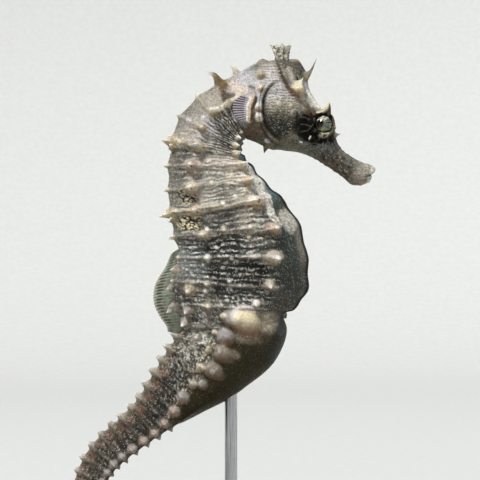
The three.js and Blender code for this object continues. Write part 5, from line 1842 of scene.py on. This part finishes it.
DORSAL = {"from": 19.35, "to": 23.9, "reach": 7.6, "rays": 32}
PECTORAL = {"x": 10.6, "y": 9.1, "z": 186.2, "reach": 8.6, "half_base": 4.6}
PECTORAL |= {"flare": 20.0, "half_turn": 52.0, "rays": 11}  # degrees
ANAL = {"station": 22.5, "reach": 1.7, "width": 3.0, "rays": 5}
ACROSS = np.array([0.0, 1.0, 0.0])


def fin_grid(rays, steps, rows):
    """Shares of the way along a fin and out to its edge, and 1 on each ray, 0 between two."""
    along, out = np.meshgrid(np.linspace(0, 1, steps * rays + 1), np.linspace(0, 1, rows), indexing="ij")
    return along, out, (0.5 + 0.5 * np.cos(2 * np.pi * along * rays)) ** 1.5


def show_fin(node, ending, middle, thick, grid, material):
    """A fin with its grid's shares kept for its material."""
    mesh = leaf(node, middle, ACROSS, thick)
    share, out, ray = (np.concatenate([field, field[:, ::-1]], 1).ravel() for field in grid)
    keep(mesh, ray=ray, out=out, share=share)
    show(f"{node}_{ending}", mesh, material, "fin", node)


def make_dorsal_fin():
    """The sail on the back, from ring 8 to the start of the tail."""
    a, b, ray = grid = fin_grid(DORSAL["rays"], 12, 36)
    station = DORSAL["from"] + (DORSAL["to"] - DORSAL["from"]) * a
    p = through(PROFILE, station.ravel()).reshape(*a.shape, 5)
    back = np.stack([p[..., 0], 0 * a, p[..., 1]], -1)
    belly = np.stack([p[..., 2], 0 * a, p[..., 3]], -1)
    up = back - belly
    depth = np.linalg.norm(up, axis=-1, keepdims=True) / 2
    up /= 2 * depth
    along = np.stack([-up[..., 2], 0 * a, up[..., 0]], -1)
    outline = np.sin(np.pi * np.minimum(0.04 + a * 0.9, 1) ** 1.15) ** 0.45
    rise = DORSAL["reach"] * outline * (1 - 0.045 * (1 - ray) * b)
    sweep = (1.2 - 3 * (a - 0.5)) * b**1.6 * 1.3
    out = -0.26 * depth[..., 0] * (1 - b) + rise * b
    wave = 0.5 * np.sin(a * 9.0 + 0.6) * b**1.5 + 0.16 * (2 * ray - 1) * b
    middle = back + up * out[..., None] + along * sweep[..., None] + ACROSS * wave[..., None]
    thick = (0.20 + 0.22 * ray) * (1.15 - 0.55 * b)
    show_fin("dorsal_fin", "sail", middle, thick, grid, fin_material())


def make_pectoral_fin(name, side):
    """The small fan behind the gill cover."""
    a, b, ray = grid = fin_grid(PECTORAL["rays"], 10, 24)
    turn = np.radians(PECTORAL["half_turn"] * (2 * a - 1))
    root_z = PECTORAL["half_base"] * (2 * a - 1) * 0.9
    tip_x = -np.cos(turn) * PECTORAL["reach"] * (1 - 0.06 * (1 - ray))
    tip_z = np.sin(turn) * (PECTORAL["half_base"] + 1.8)
    across = -1.5 + (tip_x + 1.5) * b
    rise = root_z + (tip_z - root_z) * b
    out = 0.9 * np.sin(np.pi * b * 0.7) + 0.18 * (2 * ray - 1) * b + 0.25 * np.sin(5 * a + 1) * b
    flare = math.radians(PECTORAL["flare"])
    x = PECTORAL["x"] + across * math.cos(flare) + out * math.sin(flare) * 0.2
    y = PECTORAL["y"] - 1.4 - across * math.sin(flare) + out
    middle = np.stack([x, side * y, PECTORAL["z"] + rise], -1)
    thick = (0.20 + 0.24 * ray) * (1.1 - 0.4 * b)
    show_fin(name, "fan", middle, thick, grid, pectoral_material())


def make_anal_fin():
    """The tiny fin in front of the pouch."""
    a, b, ray = grid = fin_grid(ANAL["rays"], 10, 14)
    row = int(np.argmin(abs(body.s - ANAL["station"])))
    up, along = body.up[row], body.along[row]
    belly = body.middle[row] - up * body.depth[row]
    spread = (a - 0.5) * ANAL["width"] * (0.6 + 0.4 * b)
    wave = 0.1 * (2 * ray - 1) * b
    out = -1.4 * (1 - b) + ANAL["reach"] * b * (1 - 0.2 * (2 * a - 1) ** 2) * (1 - 0.08 * (1 - ray))
    middle = belly + along * spread[..., None] - up * out[..., None] + ACROSS * wave[..., None]
    thick = (0.2 + 0.2 * ray) * (1.1 - 0.4 * b)
    show_fin("anal_fin", "fan", middle, thick, grid, fin_material())


def fin_material():
    """Thin grey-green skin between pale rays, with dark dashes near the edge."""
    if "seahorse fin" in bpy.data.materials:
        return bpy.data.materials["seahorse fin"]
    p = Paint("seahorse fin", IOR=1.4, Subsurface_Weight=0.25, Subsurface_Scale=0.002)
    ray, out = p.attribute("ray"), p.attribute("out")
    web = p.mix(p.step(p.noise(1.6, 4), 0.3, 0.7), rgb("606b5c"), rgb("8c9786"))
    tone = p.mix(p.step(ray, 0.3, 1.0, 0.0, 0.6), web, rgb("9aa594"))
    bands = p.step(p.noise(1.3, 3), 0.48, 0.64)
    tone = p.mix(p.times(bands, 0.4), tone, rgb("434c3a"))
    jagged = p.plus(out, p.times(p.minus(p.noise(1.5, 2), 0.5), 0.35))
    dash = p.times(p.step(jagged, 0.74, 0.79), p.step(jagged, 0.93, 0.88))
    dash = p.times(dash, p.step(ray, 0.5, 0.2))
    tone = p.mix(p.step(p.attribute("share"), 0.45, 0.85, 0.0, 0.55), tone, rgb("3f4a3c"))
    tone = p.mix(p.times(dash, 0.8), tone, rgb("20241d"))
    tone = p.mix(p.step(out, 0.9, 1.0, 0.0, 0.4), tone, rgb("c2c7b4"))
    p.colour(tone)
    p.rough(p.step(p.noise(0.8, 2), 0.3, 0.7, 0.4, 0.55))
    p.bump(p.noise(0.5, 3), 0.06, 0.6)
    return p.material


def pectoral_material():
    """Pale lavender rays with dark gaps."""
    if "seahorse pectoral fin" in bpy.data.materials:
        return bpy.data.materials["seahorse pectoral fin"]
    p = Paint("seahorse pectoral fin", IOR=1.4, Subsurface_Weight=0.2, Subsurface_Scale=0.002)
    ray, out = p.attribute("ray"), p.attribute("out")
    web = p.mix(p.step(p.noise(1.4, 3), 0.3, 0.7), rgb("5a555a"), rgb("86808a"))
    tone = p.mix(p.step(ray, 0.1, 0.7), web, rgb("aea8ae"))
    specks = p.times(p.step(p.cells(0.6), 0.3, 0.1), p.step(ray, 0.5, 0.8))
    tone = p.mix(p.times(specks, 0.5), tone, rgb("6a6370"))
    tone = p.mix(p.step(out, 0.42, 0.2, 0.0, 0.85), tone, rgb("d3ced8"))
    p.colour(tone)
    p.rough(p.step(p.noise(0.8, 2), 0.3, 0.7, 0.4, 0.55))
    p.bump(p.noise(0.5, 3), 0.06, 0.6)
    return p.material


# ------------------------------------------------------------------ stand
def turned(name, outline, x, around, uv=True):
    """A solid of revolution about an upright axis at x, from an outline of (radius, z)."""
    turn = np.linspace(0, 2 * math.pi, around, endpoint=False)
    table = np.array(outline, float)
    radius, z = table[:, :1], table[:, 1:]
    points = np.stack([x + radius * np.cos(turn), radius * np.sin(turn), z + 0 * turn], -1)
    mesh = sheet_mesh(name, points, True, uv)
    merge_poles(mesh)
    return mesh


def arc(x, z, radius, start, end, steps=6):
    """Points (radius, z) along an arc in degrees."""
    turn = np.radians(np.linspace(start, end, steps))
    return [(x + radius * math.cos(t), z + radius * math.sin(t)) for t in turn]


def make_base():
    """The turned wooden disc, with rounded edges and a shallow groove inside the upper one."""
    middle, size = middle_and_size("stand_base")
    radius, height = size[0] / 2, size[2]
    edge, foot = 2.2, 0.6  # radii of the upper and the lower edge
    outline = [(0.0, 0.0), (radius - 4.0, 0.0), (radius - foot - 0.6, 0.0)]
    outline += arc(radius - foot, foot, foot, -90, 0, 5)
    outline += [(radius - 0.05, 2.2), (radius, height * 0.45)]
    outline += arc(radius - edge, height - edge, edge, 0, 90, 9)
    # the groove
    outline += arc(radius - 6.5, height + 0.35, 0.9, -30, -150, 7)
    outline += [(radius * 0.6, height), (radius * 0.3, height), (4.0, height), (2.0, height), (0.0, height)]
    base = turned("stand_base", outline, middle[0], 192)
    show("stand_disc", base, wood_material(), "wood", "stand_base")


def make_rod():
    """The steel rod, with chamfered ends."""
    middle, size = middle_and_size("stand_rod")
    radius, low, high = size[0] / 2, middle[2] - size[2] / 2, middle[2] + size[2] / 2
    chamfer = 0.2
    outline = [(0.0, low), (radius - chamfer, low), (radius, low + chamfer)]
    outline += [(radius, z) for z in np.linspace(low + 2, high - 2, 24)]
    outline += [(radius, high - chamfer), (radius - chamfer, high), (0.0, high)]
    rod = turned("stand_rod", outline, middle[0], 64)
    show("stand_pin", rod, steel_material(), "steel", "stand_rod")


def wood_material():
    """Walnut: growth rings along the grain, with fine dark pores."""
    p = Paint("stand walnut", IOR=1.5, Coat_Weight=0.35, Coat_Roughness=0.18)
    figure = p.noise(9.0, 4, 0.6, stretch=(0.16, 1.0, 1.0))
    rings = p.math("FRACT", p.times(figure, 7.0))
    tone = p.mix(p.step(rings, 0.1, 0.9), rgb("4a2f1e"), rgb("7a5233"))
    pores = p.step(p.noise(0.7, 3, 0.7, stretch=(0.06, 1.0, 1.0)), 0.6, 0.72)
    tone = p.mix(p.times(pores, 0.6), tone, rgb("2c1a10"))
    p.colour(tone)
    p.rough(p.step(p.noise(3.0, 3), 0.3, 0.7, 0.32, 0.45))
    p.bump(p.minus(p.times(rings, 0.3), pores), 0.05, 0.5)
    return p.material


def steel_material():
    """Brushed steel, scratched along the rod."""
    p = Paint("stand steel", Metallic=1.0)
    scratch = p.noise(0.5, 3, 0.7, stretch=(1.0, 1.0, 0.03))
    p.colour(p.mix(p.step(scratch, 0.3, 0.7), rgb("8f9193"), rgb("c9cbcc")))
    p.rough(p.step(scratch, 0.3, 0.7, 0.24, 0.4))
    p.bump(scratch, 0.02, 0.4)
    return p.material


# ------------------------------------------------------------------ floor, lights and camera
def make_floor():
    """A pale round floor that turns up into a wall all the way round."""
    radius, bend, height = 2600.0, 900.0, 1000.0
    outline = [(0.0, 0.0), (60.0, 0.0), (300.0, 0.0), (900.0, 0.0), (radius - bend, 0.0)]
    outline += arc(radius - bend, bend, bend, -90, 0, 17)[1:]
    outline += [(radius, height)]
    mesh = turned("floor", outline, 0.0, 96, uv=False)
    mesh.flip_normals()
    p = Paint("studio floor", Roughness=0.85)
    p.colour(p.mix(p.step(p.noise(6, 3), 0.3, 0.7), rgb("c3c3c1"), rgb("c7c7c5")))
    mesh.materials.append(p.material)
    floor = bpy.data.objects.new("studio_floor", mesh)
    bpy.context.scene.collection.objects.link(floor)


def add_sun(name, place, spread, strength, colour):
    """A soft far light that shines from a direction; its spread is in degrees."""
    data = bpy.data.lights.new(name, "SUN")
    data.angle, data.energy, data.color = math.radians(spread), strength, colour
    lamp = bpy.data.objects.new(name, data)
    lamp.location = place
    lamp.rotation_euler = (-Vector(place)).to_track_quat("-Z", "Y").to_euler()
    bpy.context.scene.collection.objects.link(lamp)


def make_camera_and_lights():
    """A long lens level with the animal's side, a key light from above and a weak one from behind."""
    view_width, distance = 0.192, 1.2  # metres
    aim = Vector((0.0056, 0.0, 0.134))
    data = bpy.data.cameras.new("camera")
    data.sensor_width = 36.0
    data.lens = data.sensor_width * distance / view_width
    camera = bpy.data.objects.new("camera", data)
    camera.location = aim - Vector((0, distance, 0))
    camera.rotation_euler = (math.radians(90), 0, 0)
    bpy.context.scene.collection.objects.link(camera)
    bpy.context.scene.camera = camera
    add_sun("key", (-0.32, -0.48, 0.9), 12.0, 3.9, (0.97, 0.98, 0.97))
    add_sun("rim", (-0.3, 0.85, 0.55), 20.0, 0.9, (0.93, 0.97, 1.0))
    world = bpy.data.worlds.new("studio")
    world.use_nodes = True
    world.node_tree.nodes["Background"].inputs["Color"].default_value = (0.95, 0.98, 1.0, 1.0)
    world.node_tree.nodes["Background"].inputs["Strength"].default_value = 0.22
    scene = bpy.context.scene
    scene.world = world
    scene.view_settings.view_transform = "Standard"


make_skin()
make_eye("eye_left", FAR)
make_eye("eye_right", NEAR)
make_coronet()
make_dorsal_fin()
make_pectoral_fin("pectoral_fin_right", NEAR)
make_pectoral_fin("pectoral_fin_left", FAR)
make_anal_fin()
make_base()
make_rod()
make_floor()
make_camera_and_lights()
